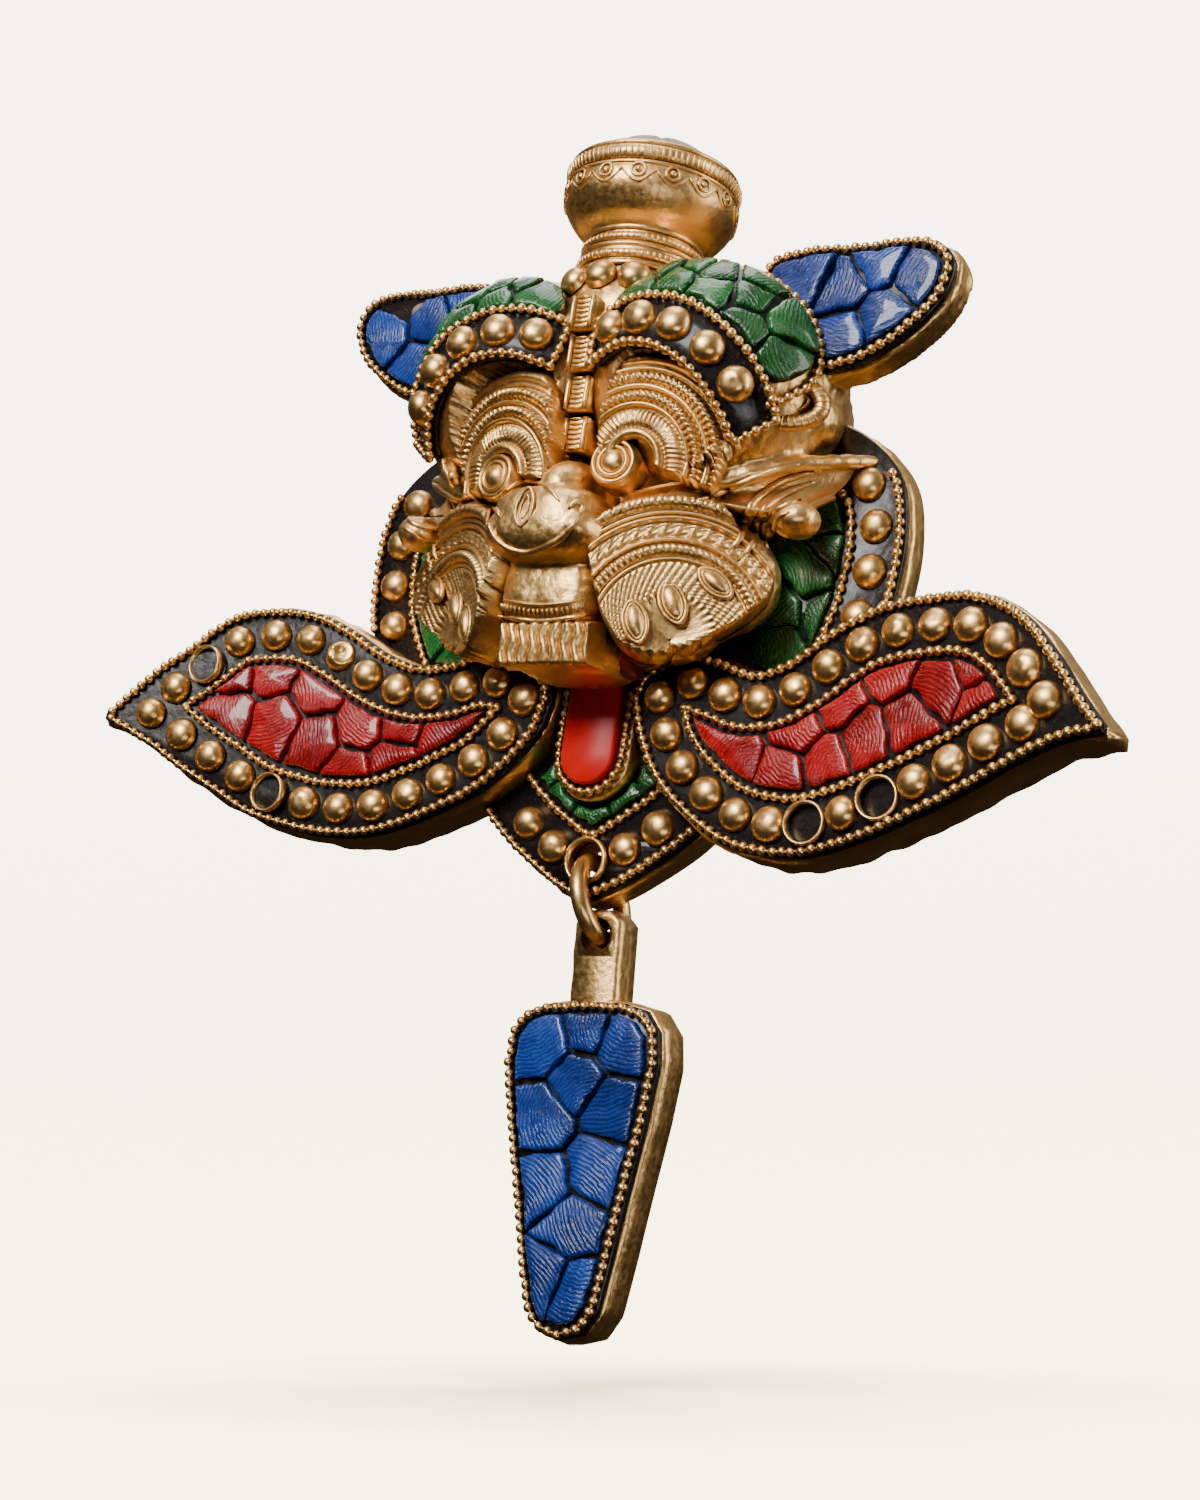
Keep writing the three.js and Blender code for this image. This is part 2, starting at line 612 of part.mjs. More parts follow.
function ridge() {
  const step = (RIDGE.top[1] - RIDGE.foot[1]) / RIDGE.blocks;
  return Array.from({ length: RIDGE.blocks }, (_, i) => {
    const y = mix(RIDGE.top[0], RIDGE.foot[0], i / (RIDGE.blocks - 1));
    const z = RIDGE.top[1] - i * step;
    return box(-RIDGE.half, RIDGE.half, y, y + RIDGE.deep, z - step + RIDGE.gap, z);
  });
}

function teeth() {
  const { count, half, r, low, high, y, fan, deep } = TEETH;
  return Array.from({ length: count }, (_, i) => {
    const a = rad((i - (count - 1) / 2) * fan);
    const tooth = new THREE.BoxGeometry(2 * half, deep, high - low);
    tooth.translate(0, deep / 2 - r, (low + high) / 2);
    tooth.rotateZ(a);
    tooth.translate(0, y, 0);
    return solidOf(tooth);
  });
}

function fangs(side) {
  const curve = new THREE.CatmullRomCurve3(FANGS.path.map((p) => new THREE.Vector3(...p)));
  return curve.getSpacedPoints(FANGS.count - 1).map((p) => egg({ c: p.toArray(), r: FANGS.r }, side));
}

function knob() {
  const lathe = new THREE.LatheGeometry(KNOB.map(([r, z]) => new THREE.Vector2(r, z)), KNOB_SIDES);
  lathe.rotateX(Math.PI / 2);
  lathe.translate(0, KNOB_Y, KNOB_Z);
  return solidOf(lathe);
}

function head() {
  const middle = [SKULL, CROWN, NOSE, BRIDGE, MUZZLE, CHIN].map((part) => egg(part));
  const pairs = Object.values(SIDES).flatMap((side) => [
    ...[BROW, WING, LOBE, CHEEK, EAR_BOSS, TUSK, EYE].map((part) => egg(part, side)),
    slab(EAR, plane(-EAR_FRONT, side), -EAR_THICK, 0),
    ...arches(side),
    ...cheekBands(side),
    ...fangs(side),
    crest(side),
    earCoil(side),
  ]);
  const reach = 100;
  const behind = box(-reach, reach, 0, reach, -reach, reach);
  return joined([...middle, ...pairs, ...ridge(), ...teeth(), knob()]).subtract(behind);
}

const ellipse = (z, rx, rz, sides) => arc(0, 0, 1, 0, 360, sides).slice(1).map(([a, b]) => [a * rx, z + b * rz]);

function maskCasting() {
  const rim = slab(ellipse(RIM.z, ...RIM.r, RIM_SIDES), plane(0), -STAND_OFF, PLATE / 2);
  const boss = slab(tongueOutline(TONGUE_RIM, TONGUE_TOP), plane(0), 0, TONGUE_FRONT);
  const hollow = egg({ c: [0, STAND_OFF, HOLLOW.z], r: HOLLOW.r });
  const barBack = STAND_OFF - BAR.recess;
  const bar = box(-BAR.long / 2, BAR.long / 2, barBack - BAR.thick, barBack, BAR.z, BAR.z + BAR.high);
  const leaves = Object.keys(SIDES).map((name) => leafBody(name, -LEAF_THICK, 0));
  return joined([head(), slab(plateOutline(), plane(0), 0, PLATE), rim, boss, ...leaves])
    .subtract(hollow)
    .subtract(pin(0, HOLE_Z, HOLE_R, GAP, -PLATE - GAP, 2 * ARC_STEPS))
    .add(bar);
}

// Pieces

const materials = Object.fromEntries(
  Object.entries(COLOURS).map(([name, [color, roughness, metalness]]) => [
    name,
    new THREE.MeshStandardMaterial({ color, roughness, metalness }),
  ]),
);

const hanging = new THREE.Group();
hanging.position.set(0, -STAND_OFF, -ORIGIN_Z);

function add(name, solid, material, group = hanging) {
  const mesh = new THREE.Mesh(geometryOf(solid), materials[material]);
  mesh.name = name;
  group.add(mesh);
  return mesh;
}

function addLeafInlays(name) {
  const { beads, bezels, chips: seeds } = LEAVES[name];
  const face = leafFace(SIDES[name]);
  const outline = leafOutline(name);
  const places = resampled(inset(outline, DOME_IN), beads, true);
  const nearest = (spot) =>
    places.reduce((a, b) => (Math.hypot(a[0] - spot[0], a[1] - spot[1]) <
      Math.hypot(b[0] - spot[0], b[1] - spot[1]) ? a : b));
  add(`lac_leaf_${name}`, leafBody(name, GAP, GAP + LAC, BED_IN), "lac");
  add(`chain_leaf_${name}_outer`, chain(inset(outline, OUTER_CHAIN_IN), face, true), "beads");
  add(`chain_leaf_${name}_inner`, chain(inset(outline, INNER_CHAIN_IN), face, true), "beads");
  add(`beads_leaf_${name}`, beadRow(places, bezels.map(nearest), face, true), "beads");
  add(`chips_leaf_${name}`, chips(inset(outline, FIELD_IN), seeds, face), "red");
}

// The stretch of the plate's outline, moved inwards, that shows above a leaf
function collarLine(name, keep, clear) {
  const side = SIDES[name];
  const mirrored = fullPlate.map(([x, z]) => [side * x, z]);
  const line = inset(side > 0 ? mirrored : mirrored.reverse(), keep);
  const top = COLLAR_TOP - keep * COLLAR_SLANT;
  const shows = ([x, z]) => x > 20 && z < top && z > heightAt(edges[name].top, x) + clear;
  return line.filter(shows).sort((a, b) => a[1] - b[1]);
}

// Half the skull's width at a height, where it meets the collar
function skullEdge(z) {
  const [, cy, cz] = SKULL.c;
  const [rx, ry, rz] = SKULL.r;
  return rx * Math.sqrt(Math.max(0, 1 - ((cy + PLATE) / ry) ** 2 - ((z - cz) / rz) ** 2));
}

function collarRegion(name, keep, clear) {
  const outer = collarLine(name, keep, clear);
  const inner = [];
  for (let z = outer[outer.length - 1][1]; skullEdge(z) > COLLAR_FROM; z -= 4) {
    inner.push([skullEdge(z) + clear, z]);
  }
  const start = inner[inner.length - 1][0];
  const end = outer[0][0];
  const lower = [];
  for (let x = start + 2; x < end - 2; x += 4) lower.push([x, heightAt(edges[name].top, x) + clear]);
  return [...lower, ...outer, ...inner];
}

const COLLAR_FROM = 29; // where the collar starts, beside the head
const COLLAR_CHIPS = [[48.8, 41.5], [49, 35], [43.5, 29], [46.5, 22], [38, 22.5], [38, 15.5]];

function addCollarInlays(name) {
  const side = SIDES[name];
  const face = plane(-PLATE, side);
  const line = collarLine(name, DOME_IN, DOME_R + 2 * GAP);
  const beads = Math.floor(length(line) / (2 * DOME_R + 1));
  add(`lac_collar_${name}`, slab(collarRegion(name, BED_IN, 4 * GAP), face, GAP, GAP + LAC), "lac");
  add(`chain_collar_${name}_outer`, chain(collarLine(name, OUTER_CHAIN_IN, 2 * CHAIN_R), face, false), "beads");
  add(`chain_collar_${name}_inner`, chain(collarLine(name, INNER_CHAIN_IN, 2 * CHAIN_R), face, false), "beads");
  add(`beads_collar_${name}`, beadRow(resampled(line, beads, false), [], face), "beads");
  add(`chips_collar_${name}`, chips(collarRegion(name, FIELD_IN, 4 * GAP), COLLAR_CHIPS, face), "green");
}

// The stretch of the petal's outline, moved inwards, that shows under the leaves, from left to right
function petalLine(keep, clear) {
  const under = ([x, z]) => {
    const name = x > 0 ? "right" : "left";
    return z < -12 && z < heightAt(edges[name].bottom, Math.abs(x)) - clear;
  };
  return inset(fullPlate, keep).filter(under).sort((a, b) => a[0] - b[0]);
}

function petalRegion(keep, clear) {
  const outer = petalLine(keep, clear);
  const r = TONGUE_W / 2 + TONGUE_RIM + clear;
  const side = (name) => {
    const reach = name === "left" ? -outer[0][0] : outer[outer.length - 1][0];
    const line = [];
    for (let x = r + 1; x < reach - 1; x += 3) line.push([x, heightAt(edges[name].bottom, x) - clear]);
    return line.filter(([x, z]) => z < -9);
  };
  const boss = arc(0, TONGUE_BOTTOM + TONGUE_W / 2, r, 360, 180, ARC_STEPS);
  const right = side("right").reverse();
  const left = side("left").map(([x, z]) => [-x, z]);
  return [...outer, ...right, ...boss, ...left];
}

const PETAL_CHIPS = [[-12.5, -12.5], [-8.6, -16.6], [0, -21.2], [8.6, -16.6], [12.3, -12.5]];

function addPetalInlays() {
  const face = plane(-PLATE);
  const hole = pin(0, HOLE_Z, HOLE_R, 0, -PLATE - 2 * ON_LAC - BEZEL_H, 2 * ARC_STEPS);
  const line = petalLine(DOME_IN, DOME_R + 2 * GAP);
  const half = (side) => {
    const first = HOLE_R + BEZEL_WALL + GAP + DOME_R;
    const run = resampled(line, 40, false).filter(([x]) => side * x > 0);
    const nearest = (reach) => run.reduce((a, b) => (off(a, reach) < off(b, reach) ? a : b));
    const off = ([x, z], reach) => Math.abs(Math.hypot(x, z - HOLE_Z) - reach);
    return [nearest(first), nearest(first + 2 * DOME_R + 1)];
  };
  const middle = [0, HOLE_Z];
  const collar = disc(middle, HOLE_R + BEZEL_WALL, BEZEL_H, face, ON_LAC);
  const [right, left] = [half(1), half(-1)];
  const row = beadRow([left[1], left[0], middle, right[0], right[1]], [middle], face);
  add("lac_petal", slab(petalRegion(BED_IN, 2 * GAP), face, GAP, GAP + LAC).subtract(hole), "lac");
  add("chain_petal_outer", chain(petalLine(OUTER_CHAIN_IN, 2 * CHAIN_R), face, false), "beads");
  add("chain_petal_inner", chain(petalLine(PETAL_INNER_IN, 2 * CHAIN_R), face, false), "beads");
  add("beads_petal", row.add(collar).subtract(hole), "beads");
  add("chips_petal", chips(petalRegion(PETAL_INNER_IN + CHAIN_R + FACET, 4 * GAP), PETAL_CHIPS, face), "green");
}

function addTongue() {
  const face = plane(-TONGUE_FRONT);
  const lips = [MUZZLE, CHIN].map((part) => egg(part, 1, GAP)).concat(teeth());
  const tongue = slab(tongueOutline(0, TONGUE_TOP), face, GAP, GAP + TONGUE_THICK).subtract(joined(lips));
  const r = TONGUE_W / 2 + GAP + CHAIN_R;
  const top = TONGUE_TOP - 2 * DOME_R / 2;
  const path = [[-r, top], ...arc(0, TONGUE_BOTTOM + TONGUE_W / 2, r, 180, 360, ARC_STEPS), [r, top]];
  add("tongue", tongue, "tongue");
  add("chain_tongue", sweep(path, face, chainProfile(GAP)), "beads");
}

// The band's middle line moved sideways by a length on the egg
function bandLine(offset, unit) {
  const path = smooth(BAND, 9);
  return path.map(([u, v], i) => {
    const a = path[Math.max(i - 1, 0)];
    const b = path[Math.min(i + 1, path.length - 1)];
    const step = Math.hypot(b[0] - a[0], b[1] - a[1]) * unit;
    return [u - ((b[1] - a[1]) / step) * offset, v + ((b[0] - a[0]) / step) * offset];
  });
}

function addBrowInlays(name) {
  const face = eggFace(BROW, SIDES[name]);
  const w = BAND_HALF + CHAIN_R;
  const [low, high] = [GAP, GAP + LAC];
  const bed = [[-w, low], [0, low], [w, low], [w, high], [0, high], [-w, high]];
  const middle = bandLine(0, face.unit);
  const upper = bandLine(BAND_HALF, face.unit).reverse();
  const loop = [...bandLine(-BAND_HALF, face.unit), middle[middle.length - 1], ...upper, middle[0]];
  add(`lac_brow_${name}`, sweep(middle, face, bed), "lac");
  add(`chain_brow_${name}`, sweep(loop, face, chainProfile(ON_LAC), true), "beads");
  add(`beads_brow_${name}`, beadRow(BAND_BEADS, [], face), "beads");
  add(`chips_cap_${name}`, chips(CAP, CAP_CHIPS, face), "green");
  add(`chain_cap_${name}`, sweep(smooth(CAP_CHAIN, 12), face, chainProfile(GAP)), "beads");
}

function addEarInlays(name) {
  const side = SIDES[name];
  const face = plane(-EAR_FRONT, side);
  const outline = resampled([...EAR].reverse(), 28, true);
  const clearOfBrow = (keep) => ([x, z]) => {
    const [cx, cy, cz] = BROW.c;
    const [rx, ry, rz] = BROW.r.map((r) => r + keep);
    return ((x - cx) / rx) ** 2 + ((EAR_FRONT + cy) / ry) ** 2 + ((z - cz) / rz) ** 2 > 1;
  };
  const browEdge = (keep) => {
    const [cx, , cz] = BROW.c;
    const r = BROW.r[0] + keep;
    return arc(cx, cz, r, 8, 70, 6).filter((p) => inside(outline, p));
  };
  const region = (keep, clear) => {
    const free = inset(outline, keep).filter(clearOfBrow(clear));
    const start = free.findIndex((p, i) => i > 0 && Math.hypot(p[0] - free[i - 1][0], p[1] - free[i - 1][1]) > 8);
    const run = start > 0 ? [...free.slice(start), ...free.slice(0, start)] : free;
    const notch = browEdge(clear).filter((p) => distanceTo(outline, p) > keep + 1);
    return [...run, ...(run[0][1] > run[run.length - 1][1] ? notch : notch.reverse())];
  };
  const rope = inset(outline, OUTER_CHAIN_IN).filter(clearOfBrow(2 * CHAIN_R));
  const start = rope.findIndex((p, i) => i > 0 && Math.hypot(p[0] - rope[i - 1][0], p[1] - rope[i - 1][1]) > 8);
  const path = start > 0 ? [...rope.slice(start), ...rope.slice(0, start)] : rope;
  add(`lac_ear_${name}`, slab(region(BED_IN, 2 * GAP), face, GAP, GAP + LAC), "lac");
  add(`chain_ear_${name}`, chain(path, face, false), "beads");
  add(`chips_ear_${name}`, chips(region(OUTER_CHAIN_IN + CHAIN_R + FACET, 1), EAR_CHIPS, face), "blue");
}

function addCrownBeads() {
  add("beads_crown", beadRow(CROWN_BEADS, [], eggFace(CROWN), false, CROWN_BEAD_R), "beads");
}

function addRingAndPendant() {
  const top = HOLE_Z + GAP;
  const ring = new THREE.TorusGeometry(RING_R, WIRE_R, WIRE_SIDES, RING_SIDES);
  ring.rotateY(Math.PI / 2);
  const ringMesh = add("ring", solidOf(ring), "beads");
  ringMesh.position.set(RING_R * Math.sin(rad(RING_LEAN)), RING_Y, top - RING_R * Math.cos(rad(RING_LEAN)));
  ringMesh.rotation.y = -rad(RING_LEAN);

  const pendant = new THREE.Group();
  const drop = 2 * RING_R - GAP;
  pendant.position.set(drop * Math.sin(rad(RING_LEAN)), RING_Y, top - drop * Math.cos(rad(RING_LEAN)));
  pendant.rotation.y = -rad(PENDANT_LEAN);
  hanging.add(pendant);

  const half = PENDANT_HALF.map(([x, z]) => [x, -LUG_LONG - z]);
  const mirrored = half.slice(1, -1).reverse().map(([x, z]) => [-x, z]);
  const outline = resampled([...half, ...mirrored].reverse(), 36, true);
  const back = PENDANT_THICK / 2;
  const lugTop = LUG_HOLE_R + LUG_TOP;
  const w = LUG_W / 2;
  const lug = [
    [-w, -LUG_LONG - w], [w, -LUG_LONG - w], [w, lugTop - LUG_CORNER], [w - LUG_CORNER, lugTop],
    [LUG_CORNER - w, lugTop], [-w, lugTop - LUG_CORNER],
  ];
  const body = slab(outline, plane(-back), -PENDANT_THICK, 0).add(slab(lug, plane(-back), -PENDANT_THICK, 0));
  const bore = pin(0, 0, LUG_HOLE_R, back + GAP, -back - GAP, 2 * ARC_STEPS);
  const face = plane(-back);
  add("pendant_casting", body.subtract(bore), "brass", pendant);
  add("lac_pendant", slab(inset(outline, BED_IN), face, GAP, GAP + LAC), "lac", pendant);
  add("chain_pendant", chain(inset(outline, OUTER_CHAIN_IN), face, true), "beads", pendant);
  const seeds = PENDANT_CHIPS.map(([x, z]) => [x, z - LUG_LONG]);
  add("chips_pendant", chips(inset(outline, OUTER_CHAIN_IN + CHAIN_R + 2 * FACET), seeds, face), "blue", pendant);
}

add("mask_casting", maskCasting(), "brass");
for (const name of Object.keys(SIDES)) {
  addLeafInlays(name);
  addCollarInlays(name);
  addBrowInlays(name);
  addEarInlays(name);
}
addPetalInlays();
addTongue();
addCrownBeads();
addRingAndPendant();

const wallHanging = new THREE.Group();
wallHanging.add(hanging);

export default wallHanging;
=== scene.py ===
"""Looks of a kirtimukha wall hanging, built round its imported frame.

Lengths are millimetres unless a name says otherwise. Forms are drawn, like the part's own source, with the
back of the heart-shaped plate at Y = 0, and placed() moves them into the frame, in metres.
"""

import math
import random

import bmesh
import bpy
import numpy as np
from bpy.props import FloatProperty, FloatVectorProperty, IntProperty, PointerProperty
from mathutils import Matrix, Vector, noise
from mathutils.bvhtree import BVHTree
from mathutils.geometry import tessellate_polygon


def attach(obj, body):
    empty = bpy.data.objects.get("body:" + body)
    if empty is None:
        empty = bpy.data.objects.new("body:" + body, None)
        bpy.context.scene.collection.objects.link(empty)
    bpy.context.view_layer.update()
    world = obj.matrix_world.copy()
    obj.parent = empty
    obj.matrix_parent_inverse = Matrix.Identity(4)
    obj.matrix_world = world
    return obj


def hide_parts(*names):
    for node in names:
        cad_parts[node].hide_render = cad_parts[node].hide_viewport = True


bl_info = {
    "name": "Kirtimukha wall hanging",
    "version": (1, 0, 0),
    "blender": (4, 5, 0),
    "location": "3D View > Sidebar > Hanging",
    "description": "Dresses a cast brass mask hanging with carving, lac, chips, beads and bead chains",
    "category": "Object",
}

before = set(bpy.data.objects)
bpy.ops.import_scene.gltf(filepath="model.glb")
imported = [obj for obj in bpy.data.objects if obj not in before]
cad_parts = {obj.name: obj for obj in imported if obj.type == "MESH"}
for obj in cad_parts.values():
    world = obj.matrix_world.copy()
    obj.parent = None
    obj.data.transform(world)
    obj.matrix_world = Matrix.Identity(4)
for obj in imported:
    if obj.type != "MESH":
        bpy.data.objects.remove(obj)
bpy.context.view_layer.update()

MM = 0.001
ORIGIN = np.array([0.0, 7.5, 18.0])  # the frame's origin: on the wall, 7.5 behind the plate
SIDES = {"right": 1, "left": -1}

# Layers and insets that every inlay shares
LAC = 1.6
ON_LAC = 1.7
BED_IN = 0.6
CHAIN_R = 1.0
CHAIN_PITCH = 2.2
OUTER_CHAIN_IN = BED_IN + CHAIN_R
DOME_IN = 6.9
INNER_CHAIN_IN = 12.2
FIELD_IN = INNER_CHAIN_IN + 1.5
CHIP = 1.5

# The heart-shaped plate and the collar
PLATE = 6
PLATE_HALF = [
    (0, 68), (30, 67), (48, 63), (58, 57), (64, 49), (66, 38), (65.5, 28), (63.5, 18), (56, 3),
    (44, -10), (29, -20.5), (21, -27.5), (11, -34.2), (4.5, -37.6), (0, -39),
]
COLLAR_SHIFT = -3
COLLAR_TOP = 49
COLLAR_FROM = 29
COLLAR_CHIPS = [(48.8, 41.5), (49, 35), (43.5, 29), (46.5, 22), (38, 22.5), (38, 15.5), (53, 44)]
PETAL_INNER_IN = 13.4
PETAL_CHIPS = [(-12.5, -12.5), (-8.6, -16.6), (0, -21.2), (8.6, -16.6), (12.3, -12.5)]
HOLE_Z = -30.2
HOLE_R = 4.2

# The leaves
LEAF_THICK = 9.5
LEAF_FRONT = 13.5
LEAF_FLARE = 19
LEAF_FLARE_FROM = 25
LEAF_FLARE_OVER = 95
LEAF_FLARE_POWER = 2.2
LEAVES = {
    "right": {
        "top": [(9.5, 4), (13, 9), (22, 12.5), (30, 11), (38, 8.5), (46, 11), (54, 16.5), (64, 20.8),
                (76, 22.4), (88, 21.4), (98, 16.2), (106, 8), (112, 0.5), (118, -6.5)],
        "bottom": [(9.5, 2), (12.5, -7), (18, -15.4), (25, -21.6), (34, -27), (45, -29.6), (56, -29.2),
                   (67, -26), (77, -22.2), (88, -17.6), (98, -13), (108, -9.5), (118, -8.5)],
        "beads": 25,
        "bezels": [(55.5, -23), (73.5, -17)],
        "chips": [(36, -10), (47, -13), (49.5, -3.5), (58, 1.5), (57, -10.5), (65, -6), (69, 7), (74, -3),
                  (80, 4), (88, 8), (92, 0)],
    },
    "left": {
        "top": [(9.5, 4), (13, 8.5), (21, 12), (29, 12.8), (37, 10.4), (45, 9.8), (54, 12.5), (63, 17.2),
                (72, 20.8), (82, 21.5), (93, 19), (102, 11), (109, 4.6), (118, -6.5)],
        "bottom": [(9.5, 2), (13, -7), (22.5, -16.8), (31.5, -21.8), (41, -26), (51, -29.2), (62, -30),
                   (72, -28.9), (82, -26.6), (91, -22.2), (99, -18.2), (108, -13), (118, -8.5)],
        "beads": 24,
        "bezels": [(93, 8), (79.5, -19.5)],
        "chips": [(36, -6), (46, -4), (47, -13), (57, -4.5), (58.5, -15), (67, -9), (69, 3), (78, -5),
                  (81, 6), (89, -4), (90, 5)],
    },
}
CRUSHED_BEAD = (65.5, 14.5)  # on the left leaf

# A squashed bead that lies loose in the lac under the cheek, and a dark red patch of painted shade in the
# corner of the mouth
LOOSE_BEAD = (14.2, -17, 9.3)
LOOSE_SIZE = (4.9, 1.7, 1.6)
LOOSE_TURN = 8
MOUTH_SHADE = (11.9, -21.5, 7.6)
MOUTH_SHADE_SIZE = (1.9, 2.9, 5.5)

# The head's eggs: centre, radii
SKULL = ((0, -4, 60), (45, 25, 35))
BROW = ((21, -17, 66), (27, 26.5, 27))
CROWN = ((0, -20, 80), (17, 17, 14))
NOSE = ((0, -35, 31.2), (12, 12.5, 7.8))
BRIDGE = ((0, -31, 40), (6.5, 11, 7))
WING = ((9.5, -38.5, 29.5), (4, 8, 4.6))
MUZZLE = ((-0.6, -26.5, 20), (12, 13, 9.5))
JAW = ((0.6, -25, 8.5), (12.2, 10.8, 5.2))
LOBE = ((21, -21, 18), (11, 9, 10))
CHEEK = ((27, -18.5, 26), (13.5, 8.5, 12))
CHEEK_TURN = 28.6
EAR_BOSS = ((40, -16, 60), (9, 9.4, 7))
TUSK = ((45.8, -22.3, 36.7), (5, 5, 3.8))
CREST = [(31, -28.5, 43), (42, -22.5, 48), (49, -14, 51.5), (53, -6, 54)]
CREST_R = 2.0
RIBBED_CREST = [(28.5, -35.5, 43.8), (32, -33, 47), (36, -29, 51), (40, -25, 54.5)]
RIDGE = {"blocks": 4, "half": 2.9, "top": (-40.5, 80.5), "foot": (-36.5, 47.5), "deep": 9, "gap": 0.9}
TEETH = {"at": (0.8, -35.8, 8), "half": 11.6, "tall": 4.9, "count": 9}
COIL = {"at": (42.6, -27, 59.6), "turn": 30, "r": (7.2, 4.4), "sweep": (-150, 165), "thick": 1.7}

# Kinds of band in a relief: what is cut along it
PLAIN, RIB, HATCH, CROSS, RINGS = range(5)

# Relief: bands from the middle outwards, and how far it reaches in each direction
EYES = {"right": (12.5, -38.6, 44.3), "left": (15.5, -38.4, 42.6)}
ARCHES = {"right": (16.5, -38, 44.5), "left": (14.5, -38, 43)}
NICHE = 1.4
VALLEY_LOW = [(14, -36, 33), (22, -33.5, 37), (29, -30, 38.5), (37, -25.5, 38), (44, -21, 39), (50, -16, 44)]
VALLEY_HIGH = [(14, -34, 40), (24, -33, 42), (33, -29.5, 44.5), (41, -24, 48), (47, -18, 51), (52, -11, 53.5)]
VALLEY_SAG = 3.2
ARCH_TURN = 10
ARCH_TURNS = (-18, 192)
ARCH_EDGE = {
    "right": [(-30, 15), (0, 17.5), (20, 19), (45, 21.5), (70, 23.5), (90, 23.2), (105, 20.5), (120, 14.5),
              (135, 11), (160, 8.4), (180, 7.8), (200, 7.6)],
    "left": [(-30, 11), (0, 11.5), (20, 14), (45, 19), (70, 23.5), (90, 24.5), (110, 23), (135, 16.5),
             (160, 12.5), (180, 11.5), (200, 10.5)],
}
ARCH_BANDS = [
    (4.4, 6.6, PLAIN, 1.5), (6.6, 10.6, HATCH, 1.2), (10.6, 11.9, PLAIN, 1.5),
    (11.9, 14.4, RIB, 1.9), (14.4, 15.8, PLAIN, 1.5), (15.8, 18.6, RIB, 2.0),
    (18.6, 19.9, PLAIN, 0.9), (19.9, 23.0, PLAIN, 1.9), (23.0, 26.0, PLAIN, 0.0),
]
EYE_EDGE = [(0, 5.2), (360, 5.2)]
EYE_BANDS = [(0.2, 2.4, PLAIN, 0.2), (2.4, 3.6, PLAIN, 1.3), (3.6, 5.0, PLAIN, 1.3), (5.0, 7, PLAIN, 0)]
CHEEK_AT = (25.5, -29.4, 10.4)
CHEEK_EDGE = [
    (-60, 1.8), (-45, 2), (0, 5.5), (16, 8.9), (25, 16.3), (31, 20.7), (38, 23.7), (48, 24.3), (62, 24.3),
    (73, 27.4), (82, 29.6), (90, 29.9), (103, 28.8), (116, 28.3), (128, 27.7), (135, 26.2), (154, 17.3),
    (175, 12.3), (197, 8.8), (223, 5.2), (260, 3), (300, 1.8),
]
CHEEK_BANDS = [
    (0.3, 9.0, PLAIN, 0.4), (9.0, 15.0, CROSS, 0.8), (15.0, 16.0, PLAIN, 0.9),
    (16.0, 18.7, RIB, 1.6), (18.7, 19.8, PLAIN, 1.2), (19.8, 23.1, RINGS, 1.0),
    (23.1, 24.3, PLAIN, 1.3), (24.3, 25.4, PLAIN, 1.0), (25.4, 28.6, RIB, 2.3), (28.6, 34, PLAIN, 0),
]
CHEEK_TEETH = [(-7.1, 2.2, 108, 4.3, 2.3), (-0.4, 7.0, 116, 4.4, 2.5), (7.4, 11.6, 146, 4.0, 2.1)]

# Lines that are drawn on the face at the photograph's pixels: line, thickness, also on the other side
NOSE_MARK = (525, 507)
LIP_LINE = [(502, 606), (540, 612), (582, 607)]
DRAWN_LINES = [
    ([(488, 521), (493, 534), (506, 547), (529, 552), (556, 541), (572, 526), (580, 514)], 0.75, False),
    ([(487, 524), (489, 512), (497, 510), (500, 518)], 0.7, False),
    ([(580, 514), (583, 506), (575, 502), (568, 510)], 0.7, False),
    ([(505, 492), (517, 484), (533, 481), (550, 490), (560, 502)], 0.6, False),
    ([(500, 600), (540, 605), (583, 600)], 0.5, False),
    ([(498, 616), (540, 621), (588, 615)], 0.6, False),
    ([(728, 552), (742, 535), (746, 515), (760, 496), (785, 480), (820, 470)], 0.9, True),
    ([(738, 560), (754, 542), (757, 520), (770, 504), (792, 490), (815, 482)], 0.8, True),
    ([(768, 548), (762, 530), (770, 515), (786, 505), (800, 500)], 0.7, True),
    ([(785, 545), (775, 532), (778, 518), (790, 512)], 0.6, True),
    ([(700, 500), (730, 488), (770, 472), (800, 464)], 0.8, True),
]

# The brow band and the cap over it, in degrees round the brow egg
BAND = [(-36, 8), (-16, 12.6), (5, 9.8), (22, 0.3), (36, -13), (49, -30)]
BAND_BEADS = [(-25, 11.4), (-8, 12.4), (9, 8.2), (24, -1.4), (37, -14.2)]
BAND_HALF = 5.0
CAP = [
    (-33, 23), (-14, 26.5), (8, 23.5), (25, 15.5), (40, 3), (52, -10), (68, 0), (69, 14), (62, 29),
    (48, 41), (22, 50), (-8, 50), (-32, 40),
]
CAP_CHIPS = [
    (-20, 34), (2, 33), (22, 26), (22, 38), (40, 25), (38, 10), (54, 16), (52, 0), (-10, 44), (8, 46),
    (44, 37),
]
CAP_CHAIN = [(53, -19), (63, -12), (72, -2), (73, 14), (66, 30), (50, 43)]

